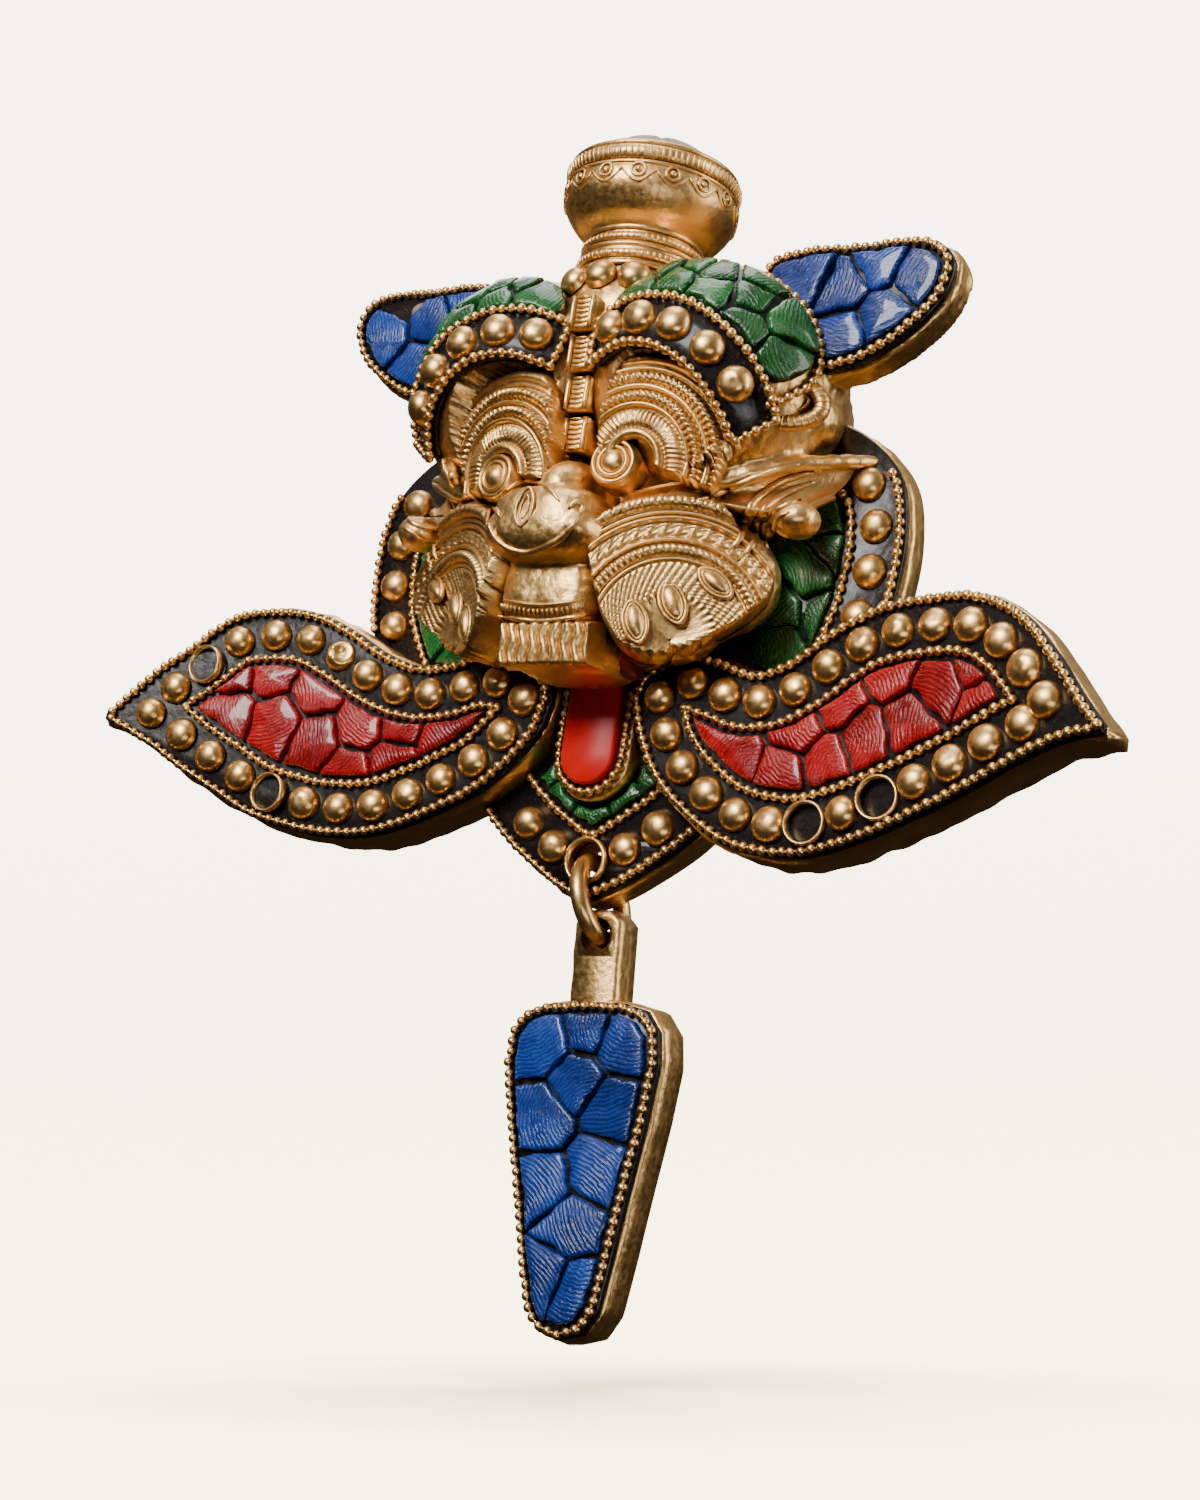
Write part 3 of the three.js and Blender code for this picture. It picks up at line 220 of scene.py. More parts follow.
# Ears, knob, tongue
EAR_FRONT = 21
EAR_THICK = 7
EAR = [
    (30, 76), (31, 91.5), (41, 95), (52, 94.6), (62, 95), (69.5, 93.5), (73.5, 88.5), (72.5, 82),
    (69, 77), (63, 72), (56, 68.4), (48, 66.6), (38, 66),
]
EAR_CHIPS = {
    "right": [(42, 88), (50, 85), (51, 74), (57, 90), (60, 77), (67, 86)],
    "left": [(43, 91), (52, 87), (54, 75), (60, 93), (64, 84)],
}
LOST_CHIP = (60, 93)  # on the left ear
KNOB_Y = -21.3
KNOB_Z = 90
KNOB = [
    (11.8, -4), (12.9, 3), (12, 8.6), (15.4, 11.6), (18, 15.5), (18.3, 19), (17.4, 21.8), (17.8, 24.4),
    (15.8, 26.2), (11, 29.6), (5, 32.2), (0, 32.8),
]
KNOB_RINGS = [  # height, wire, pitch of its ribs or 0, how tall
    (0.4, 0.8, 0, 1), (2.4, 0.9, 1.2, 1.1), (4.6, 0.6, 0, 1), (6.4, 0.9, 1.2, 1.1), (8.6, 0.6, 0, 1),
    (22.6, 1.1, 1.25, 1.6), (20.4, 0.5, 0, 1), (24.9, 0.6, 0, 1),
]
PETALS = 9
PETALS_FROM = 25.2
SWAGS = 16
SWAG_Z = 18.4
SWAG_DROP = 2.6
SWAG_WIRE = 0.38
TONGUE_W = 13
TONGUE_TOP = 8
TONGUE_BOTTOM = -15.5
TONGUE_FRONT = 12
TONGUE_RIM = 2.7
TONGUE_THICK = 2.6

# The back
STAND_OFF = 7.5
RIM = {"z": 50, "r": (43, 39)}
HOLLOW = {"z": 53, "r": (33, 27, 28)}
BAR = {"z": 70, "long": 50, "thick": 4, "high": 5, "recess": 4}

# Ring and pendant
RING_R = 8.3
WIRE_R = 1.9
RING_Y = -4.7
RING_LEAN = 18
PENDANT_LEAN = 4.6
PENDANT_THICK = 7.5
LUG_W = 11
LUG_HOLE_R = 3
LUG_TOP = 2.4
LUG_LONG = 13
LUG_CORNER = 2.5
PENDANT_HALF = [
    (0, 0), (9, 0.4), (14.5, 2), (17.8, 6.5), (18.4, 13), (16.6, 24), (13.6, 38), (11, 51), (8.8, 61),
    (5.6, 65.6), (0, 67),
]
PENDANT_CHIPS = [
    (-8, -9), (1.5, -6), (9.5, -9), (0, -16.5), (8, -22), (-7, -24), (5.5, -33.5), (-5.5, -37), (1, -45),
    (-3, -54.5), (3, -57),
]

# The camera, found from the photograph's perspective
VIEW_AZIMUTH = 33
VIEW_ELEVATION = -12
VIEW_ROLL = 8.52
VIEW_AT = (263.2, -412.8, -120.7)  # in the frame
IMAGE = (1200, 1500)
FOCAL = 2353
VIEW_CENTRE = (628.7, 728.1)
SENSOR = 36


class HangingSizes(bpy.types.PropertyGroup):
    bead_radius: FloatProperty(
        name="Bead radius", description="Radius of a half-round bead", default=3.7 * MM, unit="LENGTH")
    bead_height: FloatProperty(
        name="Bead height", description="Height of a half-round bead", default=3.1 * MM, unit="LENGTH")
    voxel: FloatProperty(
        name="Carving grain", description="Edge of the mesh that the head is carved in",
        default=0.68 * MM, unit="LENGTH")
    seed: IntProperty(name="Seed", description="Start of the hand-made unevenness", default=7)


class HangingColours(bpy.types.PropertyGroup):
    brass: FloatVectorProperty(
        name="Brass", description="Polished cast brass", subtype="COLOR", size=3,
        default=(0.93, 0.575, 0.215))
    # Painted into the brass's recesses by an occlusion mask: the real patina and painted shade together.
    patina_and_shade: FloatVectorProperty(
        name="Patina", description="Dark brass in the recesses", subtype="COLOR", size=3,
        default=(0.20, 0.08, 0.02))
    lac: FloatVectorProperty(
        name="Lac", description="Black lac", subtype="COLOR", size=3, default=(0.011, 0.009, 0.009))
    blue: FloatVectorProperty(
        name="Blue", description="Blue chips", subtype="COLOR", size=3, default=(0.006, 0.035, 0.24))
    green: FloatVectorProperty(
        name="Green", description="Green chips", subtype="COLOR", size=3, default=(0.005, 0.095, 0.014))
    red: FloatVectorProperty(
        name="Red", description="Red chips", subtype="COLOR", size=3, default=(0.34, 0.004, 0.007))
    tongue: FloatVectorProperty(
        name="Tongue", description="Painted tongue", subtype="COLOR", size=3, default=(0.80, 0.004, 0.003))


class HangingStage(bpy.types.PropertyGroup):
    backdrop: FloatVectorProperty(
        name="Backdrop", description="Floor and backdrop", subtype="COLOR", size=3,
        default=(0.98, 0.82, 0.54))
    key_power: FloatProperty(
        name="Key light", description="Power of the key light", default=18, subtype="POWER")
    fill_power: FloatProperty(
        name="Fill light", description="Power of the fill light", default=6, subtype="POWER")


# Lines in a plane


def as_points(points):
    return np.array(points, float)


def run_of(points, closed=False):
    ends = np.vstack([points, points[:1]]) if closed else points
    steps = np.linalg.norm(np.diff(ends, axis=0), axis=1)
    return ends, np.concatenate([[0], np.cumsum(steps)])


def resampled(points, count, closed=False):
    """The same line with a new number of equal steps."""
    ends, run = run_of(as_points(points), closed)
    at = np.linspace(0, run[-1], count + 1)[: count if closed else count + 1]
    return np.column_stack([np.interp(at, run, ends[:, k]) for k in range(ends.shape[1])])


def spaced(points, step, closed=False):
    _, run = run_of(as_points(points), closed)
    return resampled(points, max(2, round(run[-1] / step)), closed)


def smooth(points, step, closed=False, fine=12):
    """A smooth line through points, cut into equal steps."""
    given = as_points(points)
    n = len(given)
    line = []
    for i in range(n if closed else n - 1):
        a, b, c, d = (given[(i + k) % n if closed else min(max(i + k, 0), n - 1)] for k in (-1, 0, 1, 2))
        for k in range(fine):
            t = k / fine
            bend = (2 * a - 5 * b + 4 * c - d) * t**2
            twist = (3 * b - a - 3 * c + d) * t**3
            line.append(0.5 * (2 * b + (c - a) * t + bend + twist))
    if not closed:
        line.append(given[-1])
    return spaced(line, step, closed)


def arc(x, z, r, start, end, steps):
    angles = np.radians(np.linspace(start, end, steps + 1))
    return np.column_stack([x + r * np.cos(angles), z + r * np.sin(angles)])


def round_turn(count):
    """Even angles once round, in radians."""
    return np.linspace(0, 2 * math.pi, count, endpoint=False)


def circle_at(centre, a, b, sides):
    """Points round a centre, which a and b reach at right angles."""
    return [centre + a * math.cos(k) + b * math.sin(k) for k in round_turn(sides)]


def unit_of(v):
    return v / max(np.linalg.norm(v), 1e-9)


def units_of(rows):
    return rows / np.maximum(np.linalg.norm(rows, axis=1), 1e-9)[:, None]


def sideways(along):
    """Directions in a plane, a quarter turn on."""
    return np.column_stack([-along[:, 1], along[:, 0]])


def inside(outline, p):
    """Whether a point lies within an outline."""
    a = outline
    b = np.roll(outline, -1, axis=0)
    crosses = (a[:, 1] > p[1]) != (b[:, 1] > p[1])
    rise = np.where(crosses, b[:, 1] - a[:, 1], 1)
    return bool(np.sum(crosses & (p[0] < a[:, 0] + (b[:, 0] - a[:, 0]) * (p[1] - a[:, 1]) / rise)) % 2)


def distance_to(outline, p):
    a = outline
    d = np.roll(outline, -1, axis=0) - a
    t = np.clip(np.sum((p - a) * d, axis=1) / np.maximum(np.sum(d * d, axis=1), 1e-12), 0, 1)
    return float(np.min(np.linalg.norm(a + d * t[:, None] - p, axis=1)))


def inset(outline, distance):
    """An outline that runs anticlockwise, moved inwards, without what comes too near another stretch."""
    outline = as_points(outline)
    along = units_of(np.roll(outline, -1, axis=0) - np.roll(outline, 1, axis=0))
    moved = outline + sideways(along) * distance
    kept = [p for p in moved if inside(outline, p) and distance_to(outline, p) > distance * 0.96]
    return np.array(kept)


def height_at(points, x):
    return float(np.interp(x, points[:, 0], points[:, 1]))


def cell(outline, seed, seeds):
    """The part of an outline that is nearer to one seed than to any other."""
    kept = [np.array(p, float) for p in outline]
    for other in seeds:
        if tuple(other) == tuple(seed):
            continue
        toward = np.subtract(other, seed)
        gap = np.linalg.norm(toward)
        toward = toward / gap
        rooms = [gap / 2 - float(np.dot(p - seed, toward)) for p in kept]
        cut = []
        for i, p in enumerate(kept):
            j = (i + 1) % len(kept)
            if rooms[i] >= 0:
                cut.append(p)
            if (rooms[i] >= 0) != (rooms[j] >= 0):
                cut.append(p + (kept[j] - p) * rooms[i] / (rooms[i] - rooms[j]))
        kept = cut
    return kept


# Surfaces that inlays lie on: a place and a height give a point


class Flat:
    unit = 1.0

    def __init__(self, y, side=1):
        self.y = y
        self.side = side

    def at(self, u, v, h):
        return np.array([self.side * u, self.y - h, v])


class LeafFront:
    unit = 1.0

    def __init__(self, side):
        self.side = side

    def at(self, u, v, h):
        return np.array([self.side * u, -leaf_front(u) - h, v])


class Egg:
    def __init__(self, egg, side=1):
        self.c, self.r = (np.array(part, float) for part in egg)
        self.side = side
        self.unit = math.radians(1) * self.r[0]

    def at(self, u, v, h):
        u, v = math.radians(u), math.radians(v)
        r = self.r + h
        return np.array([
            self.side * (self.c[0] + r[0] * math.cos(v) * math.sin(u)),
            self.c[1] - r[1] * math.cos(v) * math.cos(u),
            self.c[2] + r[2] * math.sin(v),
        ])


def spot_on(face, place, h, turn=0.0):
    """A point on a face with two directions along it and the one out of it."""
    u, v = place
    p = face.at(u, v, h)
    out = unit_of(face.at(u, v, h + 1) - p)
    across = face.at(u + 0.05, v, h) - face.at(u - 0.05, v, h)
    across = unit_of(across - out * np.dot(across, out))
    up = np.cross(out, across)
    c, s = math.cos(turn), math.sin(turn)
    return p, across * c + up * s, up * c - across * s, out


def leaf_front(x):
    reach = max(0.0, x - LEAF_FLARE_FROM) / LEAF_FLARE_OVER
    return LEAF_FRONT + LEAF_FLARE * reach**LEAF_FLARE_POWER


# Shells: the meshes of a piece, gathered one by one


class Shells:
    def __init__(self):
        self.points = []
        self.faces = []
        self.grain = []

    def add(self, points, faces, grain=None):
        first = len(self.points)
        self.points.extend(map(tuple, points))
        self.faces.extend(tuple(first + i for i in face) for face in faces)
        self.grain.extend(grain if grain is not None else [(p[0] / 10, p[2] / 10) for p in points])


def placed(points):
    return (np.array(points, float) - ORIGIN) * MM


def in_scene(name, data):
    made = bpy.data.objects.new(name, data)
    bpy.context.scene.collection.objects.link(made)
    return made


def make_piece(name, shells, finish, *nodes):
    """A mesh in the frame that rides on the hanging and stands for the nodes named."""
    mesh = bpy.data.meshes.new(name)
    mesh.from_pydata(placed(shells.points).tolist(), [], shells.faces)
    mesh.validate()
    grain = mesh.uv_layers.new(name="Grain")
    corners = np.zeros(len(mesh.loops), np.int32)
    mesh.loops.foreach_get("vertex_index", corners)
    grain.data.foreach_set("uv", np.array(shells.grain, np.float32)[corners].ravel())
    mesh.shade_smooth()
    mesh.materials.append(material(finish))
    piece = in_scene(name, mesh)
    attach(piece, "root")
    if nodes:
        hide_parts(*nodes)
    return piece


def fan(first, count, tip):
    """Triangles from a ring of points to its tip."""
    return [(first + j, first + (j + 1) % count, tip) for j in range(count)]


def grid_faces(rows, across, ring_across=False, ring_rows=False):
    """Quads between rows of points, which may close round in either direction."""
    faces = []
    for i in range(rows if ring_rows else rows - 1):
        for j in range(across if ring_across else across - 1):
            k = (j + 1) % across
            low, high = i * across, ((i + 1) % rows) * across
            faces.append((low + j, low + k, high + k, high + j))
    return faces


def add_rows(shells, rows, ring_across=True, ring_rows=False, caps=True, grain=None):
    """Rows of points, each as long, joined to a surface."""
    count = len(rows[0])
    faces = grid_faces(len(rows), count, ring_across, ring_rows)
    if caps and ring_across and not ring_rows:
        faces.append(tuple(reversed(range(count))))
        faces.append(tuple(range((len(rows) - 1) * count, len(rows) * count)))
    shells.add(np.vstack(rows), faces, grain)


def add_slab(shells, outline, face, low, high, holes=(), edge=0.0, wave=0.0, back=True):
    """An outline filled between two heights, with a rounded front edge and rough sides."""
    loops = [as_points(line) for line in (outline, *holes)]
    levels = [low, (low * 2 + high) / 3, (low + high * 2) / 3, high - edge, high] if edge else [low, high]
    points, faces = [], []
    for k, line in enumerate(loops):
        first = len(points)
        n = len(line)
        for level, h in enumerate(levels):
            shown = inset_exact(line, edge if level == len(levels) - 1 else 0, k == 0)
            for i, (u, v) in enumerate(shown):
                rough = wave * noise.noise(Vector((u / 4, v / 4, level * 3.1))) if 0 < level < 4 else 0
                points.append(face.at(u + rough, v + rough, h))
        for quad in grid_faces(len(levels), n, True):
            faces.append(tuple(first + i for i in quad))
    tops = [[Vector((u, v, 0)) for u, v in inset_exact(line, edge, k == 0)] for k, line in enumerate(loops)]
    under, over = [], []
    first = 0
    for line in loops:
        under.extend(range(first, first + len(line)))
        first += len(levels) * len(line)
        over.extend(range(first - len(line), first))
    lids = tessellate_polygon(tops)
    faces.extend(tuple(over[i] for i in tri) for tri in lids)
    if back:
        faces.extend(tuple(under[i] for i in reversed(tri)) for tri in lids)
    shells.add(points, faces)


def inset_exact(line, distance, inwards=True):
    """Every point of an anticlockwise line, moved sideways."""
    if not distance:
        return line
    along = units_of(np.roll(line, -1, axis=0) - np.roll(line, 1, axis=0))
    return line + sideways(along) * (distance if inwards else -distance)


def unit_ball(sides, rings):
    rows = []
    for i in range(1, rings):
        v = math.pi * i / rings
        rows.append([
            (math.sin(v) * math.cos(2 * math.pi * j / sides), math.sin(v) * math.sin(2 * math.pi * j / sides),
             math.cos(v))
            for j in range(sides)
        ])
    points = [p for row in rows for p in row] + [(0, 0, 1), (0, 0, -1)]
    faces = [tuple(reversed(face)) for face in grid_faces(len(rows), sides, True)]
    top, foot = len(points) - 2, len(points) - 1
    last = (len(rows) - 1) * sides
    for j in range(sides):
        k = (j + 1) % sides
        faces.append((top, j, k))
        faces.append((foot, last + k, last + j))
    return np.array(points), faces


BALL = unit_ball(12, 8)
LUMP = unit_ball(8, 5)


def add_ball(shells, spot, radii, ball=BALL):
    p, across, up, out = spot
    points = p + ball[0] @ (np.array([across, up, out]) * np.array(radii)[:, None])
    shells.add(points, ball[1])


def add_dome(shells, spot, r, high, sides=28, rings=7, dent=0.0, sunk=0.5):
    p, across, up, out = spot
    rows = []
    for i in range(rings):
        a = math.radians(90 * i / rings)
        lift = -sunk if i == 0 else high * math.sin(a)
        reach = r if i == 0 else r * math.cos(a) ** 0.92
        rows.append([
            p + (across * math.cos(t) + up * math.sin(t)) * reach + out * lift
            - out * dent * max(0, math.cos(t - 1)) * math.sin(a) * high
            for t in round_turn(sides)
        ])
    faces = grid_faces(rings, sides, True)
    top = rings * sides
    faces += fan(top - sides, sides, top)
    shells.add(np.vstack([*rows, [p + out * high * (1 - dent * 0.6)]]), faces)


def add_cup(shells, spot, r, wall, high, sides=28):
    """An empty bezel: a thin ring of metal round a black floor."""
    p, across, up, out = spot
    profile = [(r, -0.5), (r, high), (r - wall, high), (r - wall, -0.5)]
    rows = [
        [p + (across * math.cos(t) + up * math.sin(t)) * reach + out * h for reach, h in profile]
        for t in round_turn(sides)
    ]
    add_rows(shells, [row[::-1] for row in rows], True, True)


def chain_on(shells, path, face, closed=False, low=ON_LAC, r=CHAIN_R, rng=None):
    """Balls on a thin wire, at even steps along a path on a face."""
    dense = spaced(path, 0.6 / face.unit, closed)
    line = np.array([face.at(u, v, low + r * 0.75) for u, v in dense])
    ends, run = run_of(line, closed)
    count = max(2, round(run[-1] / CHAIN_PITCH))
    at = np.linspace(0, run[-1], count + 1)[: count if closed else count + 1]
    centres = np.column_stack([np.interp(at, run, ends[:, k]) for k in range(3)])
    axes = (np.array([1.0, 0, 0]), np.array([0, 1.0, 0]), np.array([0, 0, 1.0]))
    for i, centre in enumerate(centres):
        jitter = np.array([rng.uniform(-0.12, 0.12) for _ in range(3)]) if rng else 0
        size = r * (rng.uniform(0.93, 1.05) if rng else 1)
        add_ball(shells, (centre + jitter, *axes), (size, size, size))
        if i + 1 < len(centres) or closed:
            add_link(shells, centre, centres[(i + 1) % len(centres)], 0.36)


def add_link(shells, a, b, r, sides=6):
    """The bit of wire between two balls."""
    along = unit_of(b - a)
    side = unit_of(np.cross(along, (0.3, 0.5, 0.8)))
    other = np.cross(along, side)
    add_rows(shells, [circle_at(end, side * r, other * r, sides) for end in (a, b)], caps=False)


def rough_edge(stone, rng, unit):
    """A cell's outline, drawn in by its joint and made a little uneven."""
    line = as_points(stone)
    middle = line.mean(axis=0)
    joint = rng.uniform(0.2, 0.5) / unit
    line = spaced(line, 1.1 / unit, True)
    out = []
    phase = rng.uniform(0, 50)
    for p in line:
        away = p - middle
        reach = np.linalg.norm(away)
        bite = (0.75 * noise.noise(Vector((*(p * unit / 3.2), phase))) + 0.15) / unit
        out.append(middle + away / max(reach, 1e-6) * max(0.6 / unit, reach - joint - bite))
    return np.array(out)


def add_chip(shells, stone, face, rng, low=ON_LAC):
    """A flat chip with a rounded edge, tilted a little, with growth lines round a far point."""
    line = rough_edge(stone, rng, face.unit)
    middle = line.mean(axis=0)
    tilt = np.array([rng.uniform(-0.05, 0.05), rng.uniform(-0.05, 0.05)])
    lift = rng.uniform(-0.25, 0.35)
    bulge = rng.uniform(0.1, 0.5)
    spread = max(np.linalg.norm(line - middle, axis=1))
    turn = rng.uniform(0, 2 * math.pi)
    hinge = middle + np.array([math.cos(turn), math.sin(turn)]) * rng.uniform(0.9, 2.2) * spread
    shift = rng.uniform(0, 30)
    rows, grain = [], []
    for share, h in ((1.0, -0.5), (1.0, CHIP - 0.45), (1 - 0.28 / (spread * face.unit), CHIP - 0.08),
                     (0.86, CHIP + 0.02), (0.55, CHIP + 0.02), (0.25, CHIP + 0.02)):
        row = []
        for p in line:
            q = middle + (p - middle) * share
            rise = float(np.dot(q - middle, tilt)) * face.unit + lift + bulge * (1 - share**2) if h > 0 else 0
            row.append(face.at(q[0], q[1], low + h + rise))
            grain.append(grain_at(q, hinge, face, shift))
        rows.append(row)
    faces = grid_faces(len(rows), len(line), True)
    last = (len(rows) - 1) * len(line)
    top = len(rows) * len(line)
    faces += fan(last, len(line), top)
    points = np.vstack([*rows, [face.at(*middle, low + CHIP + 0.03 + lift + bulge)]])
    grain.append(grain_at(middle, hinge, face, shift))
    shells.add(points, faces, grain)


def grain_at(p, hinge, face, shift):
    away = (p - hinge) * face.unit
    return (float(np.linalg.norm(away)) / 10 + shift, math.atan2(away[1], away[0]) + shift)


def chips_in(shells, outline, seeds, face, rng, skip=None, low=ON_LAC):
    for seed in seeds:
        if skip is not None and tuple(seed) == tuple(skip):
            continue
        stone = cell(outline, seed, seeds)
        if len(stone) > 2:
            add_chip(shells, stone, face, rng, low)


# Materials


class Nodes:
    """A material's node tree, with short calls to add and join nodes."""

    def __init__(self, name):
        self.material = bpy.data.materials.new(name)
        self.material.use_nodes = True
        self.tree = self.material.node_tree
        self.shader = self.tree.nodes["Principled BSDF"]
        self.place = self.node("ShaderNodeTexCoord").outputs["Object"]

    def fill(self, socket, value):
        """Joins a node's output to a socket, or sets the socket's own value."""
        if isinstance(value, bpy.types.NodeSocket):
            self.tree.links.new(value, socket)
        else:
            socket.default_value = value

    def node(self, kind, settings=None, **inputs):
        made = self.tree.nodes.new(kind)
        for key, value in (settings or {}).items():
            setattr(made, key, value)
        for key, value in inputs.items():
            self.fill(made.inputs[key.replace("_", " ")], value)
        return made

    def set(self, **inputs):
        for key, value in inputs.items():
            self.fill(self.shader.inputs[key.replace("_", " ")], value)

    def cloud(self, scale, detail, **inputs):
        """Soft unevenness, so many lumps to a metre."""
        made = self.node("ShaderNodeTexNoise", Vector=self.place, Scale=scale, Detail=detail, **inputs)
        return made.outputs["Fac"]

    def maths(self, operation, a, b):
        made = self.node("ShaderNodeMath", {"operation": operation})
        self.fill(made.inputs[0], a)
        self.fill(made.inputs[1], b)
        return made.outputs[0]

    def hollows(self, samples, reach):
        """White in the open, darker where other surfaces stand near: a mask that paints shade into a colour.
        """
        made = self.node("ShaderNodeAmbientOcclusion", {"samples": samples}, Distance=reach * MM)
        return made.outputs["AO"]

    def ramp(self, factor, stops):
        made = self.node("ShaderNodeValToRGB", Fac=factor)
        ramp = made.color_ramp
        while len(ramp.elements) < len(stops):
            ramp.elements.new(0.5)
        for element, (place, colour) in zip(ramp.elements, stops):
            element.position = place
            element.color = (*colour, 1)
        return made.outputs["Color"]

    def greys(self, factor, *stops):
        return self.ramp(factor, [(place, (value,) * 3) for place, value in stops])

    def mixed(self, factor, a, b):
        made = self.node("ShaderNodeMix", {"data_type": "RGBA"})
        for index, value in ((0, factor), (6, a), (7, b)):
            plain = isinstance(value, (float, bpy.types.NodeSocket))
            self.fill(made.inputs[index], value if plain else (*value, 1))
        return made.outputs[2]

    def bump(self, height, strength, distance, under=None):
        made = self.node("ShaderNodeBump", Strength=strength, Distance=distance, Height=height)
        if under is not None:
            self.tree.links.new(under, made.inputs["Normal"])
        return made.outputs["Normal"]


RECESS = 4.0  # how near a hollow's sides stand where the brass is darkened: patina and painted shade


def scaled(colour, factor):
    return tuple(min(1.0, c * factor) for c in colour)


def brass_material(name, colours, rough, patina_and_shade_reach, hammered, shade=1.0):
    """Cast brass: warm metal, darkened in its recesses by patina and painted shade, with a fine uneven skin.
    """
    n = Nodes(name)
    broad = n.cloud(90.0, 3.0)
    fine = n.cloud(900.0, 4.0)
    dull, bright = (scaled(colours.brass, factor * shade) for factor in (0.86, 1.08))
    metal = n.ramp(broad, [(0.3, dull), (0.7, bright)])
    # Ambient occlusion, made a little uneven by fine noise, paints shade together with the patina into the
    # recesses.
    open_air = n.maths("ADD", n.hollows(6, RECESS), n.maths("MULTIPLY", fine, 0.25))
    mask = n.greys(open_air, (0.35, 1), (0.35 + patina_and_shade_reach, 0))
    n.set(Base_Color=n.mixed(mask, metal, colours.patina_and_shade), Metallic=1.0)
    n.set(Roughness=n.greys(fine, (0.3, rough * 0.85), (0.75, rough * 1.35)))
    n.set(Normal=n.bump(fine, hammered, 0.25 * MM, n.bump(broad, hammered * 0.6, 0.8 * MM)))
    return n.material


def lac_material(name, colours):
    """Black lac: glossy, poured by hand, with shallow dimples and dust."""
    n = Nodes(name)
    dimples = n.cloud(420.0, 2.0)
    dust = n.cloud(2200.0, 2.0)
    n.set(Base_Color=n.ramp(dust, [(0.55, colours.lac), (0.8, scaled(colours.lac, 4.0))]))
    n.set(Roughness=n.greys(dimples, (0.3, 0.24), (0.8, 0.42)), Specular_IOR_Level=0.3)
    n.set(Normal=n.bump(dimples, 0.3, 0.5 * MM), Coat_Weight=0.08, Coat_Roughness=0.1)
    return n.material


def chip_material(name, colour, pale):
    """Dyed shell: growth lines round each chip's hinge, darker blotches and a clear gloss."""
    n = Nodes(name)
    grain = n.node("ShaderNodeUVMap", {"uv_map": "Grain"}).outputs["UV"]
    blot = n.cloud(230.0, 5.0, Roughness=0.65)
    bands = {"wave_type": "BANDS", "bands_direction": "X"}
    lines = n.node(
        "ShaderNodeTexWave", bands, Vector=grain, Scale=3.6, Distortion=5.5, Detail=3.0, Detail_Scale=1.4)
    hair = n.node("ShaderNodeTexWave", bands, Vector=grain, Scale=11.0, Distortion=3.0, Detail=2.0)
    stripes = n.mixed(0.45, lines.outputs["Color"], hair.outputs["Color"])
    own = n.node("ShaderNodeTexNoise", {"noise_dimensions": "2D"}, Vector=grain, Scale=0.35, Detail=0.0)
    each = n.greys(own.outputs["Fac"], (0.38, 0), (0.62, 1))
    patchy = n.mixed(0.45, n.greys(blot, (0.3, 0), (0.7, 1)), each)
    tone = n.mixed(0.55, stripes, patchy)
    dyed = n.ramp(tone, [
        (0.12, scaled(colour, 0.28)), (0.42, scaled(colour, 0.85)), (0.68, scaled(colour, 1.5)), (0.95, pale),
    ])
    n.set(Base_Color=dyed, Coat_Weight=0.5, Coat_Roughness=0.06)
    n.set(Roughness=n.greys(blot, (0.3, 0.2), (0.8, 0.42)))
    n.set(Normal=n.bump(lines.outputs["Fac"], 0.35, 0.25 * MM, n.bump(hair.outputs["Fac"], 0.3, 0.1 * MM)))
    return n.material


def tongue_material(name, colour):
    """Smooth red paint."""
    n = Nodes(name)
    soft = n.cloud(140.0, 2.0)
    n.set(Base_Color=n.ramp(soft, [(0.3, scaled(colour, 0.9)), (0.7, scaled(colour, 1.06))]))
    n.set(Roughness=n.greys(soft, (0.3, 0.38), (0.7, 0.5)))
    n.set(Normal=n.bump(soft, 0.25, 0.5 * MM), Coat_Weight=0.08, Coat_Roughness=0.2)
    return n.material


def glue_material(name):
    """Old glue and dust where a chip is lost."""
    n = Nodes(name)
    rough = n.cloud(700.0, 6.0)
    n.set(Base_Color=n.ramp(rough, [(0.3, (0.10, 0.075, 0.06)), (0.7, (0.34, 0.27, 0.24))]), Roughness=0.75)
    n.set(Normal=n.bump(rough, 0.8, 0.6 * MM))
    return n.material


MATERIALS = {}


def material(name):
    """A finish by its name. All of them are made at the first call."""
    if not MATERIALS:
        colours = bpy.context.scene.hanging_colours
        MATERIALS["cast"] = brass_material("cast_brass", colours, 0.37, 0.36, 0.55)
        MATERIALS["bead"] = brass_material("bead_brass", colours, 0.34, 0.26, 0.12)
        MATERIALS["knob"] = brass_material("knob_brass", colours, 0.37, 0.4, 0.5)
        MATERIALS["petal"] = brass_material("petal_brass", colours, 0.4, 0.45, 0.5, 0.22)
        MATERIALS["lac"] = lac_material("black_lac", colours)
        MATERIALS["blue"] = chip_material("blue_chips", colours.blue, (0.05, 0.15, 0.50))
        MATERIALS["green"] = chip_material("green_chips", colours.green, (0.05, 0.27, 0.06))
        MATERIALS["red"] = chip_material("red_chips", colours.red, (0.62, 0.035, 0.03))
        MATERIALS["tongue"] = tongue_material("tongue_paint", colours.tongue)
        # The mouth corner's patch: the tongue's red darkened, as painted shade.
        MATERIALS["corner"] = tongue_material("painted_mouth_shade", scaled(colours.tongue, 0.35))
        MATERIALS["glue"] = glue_material("old_glue")
    return MATERIALS[name]


# The plate and the leaves


def edge_lines(name):
    return {edge: smooth(LEAVES[name][edge], 1.0) for edge in ("top", "bottom")}


EDGES = {name: edge_lines(name) for name in SIDES}


def leaf_outline(name):
    return np.vstack([EDGES[name]["bottom"], EDGES[name]["top"][::-1]])


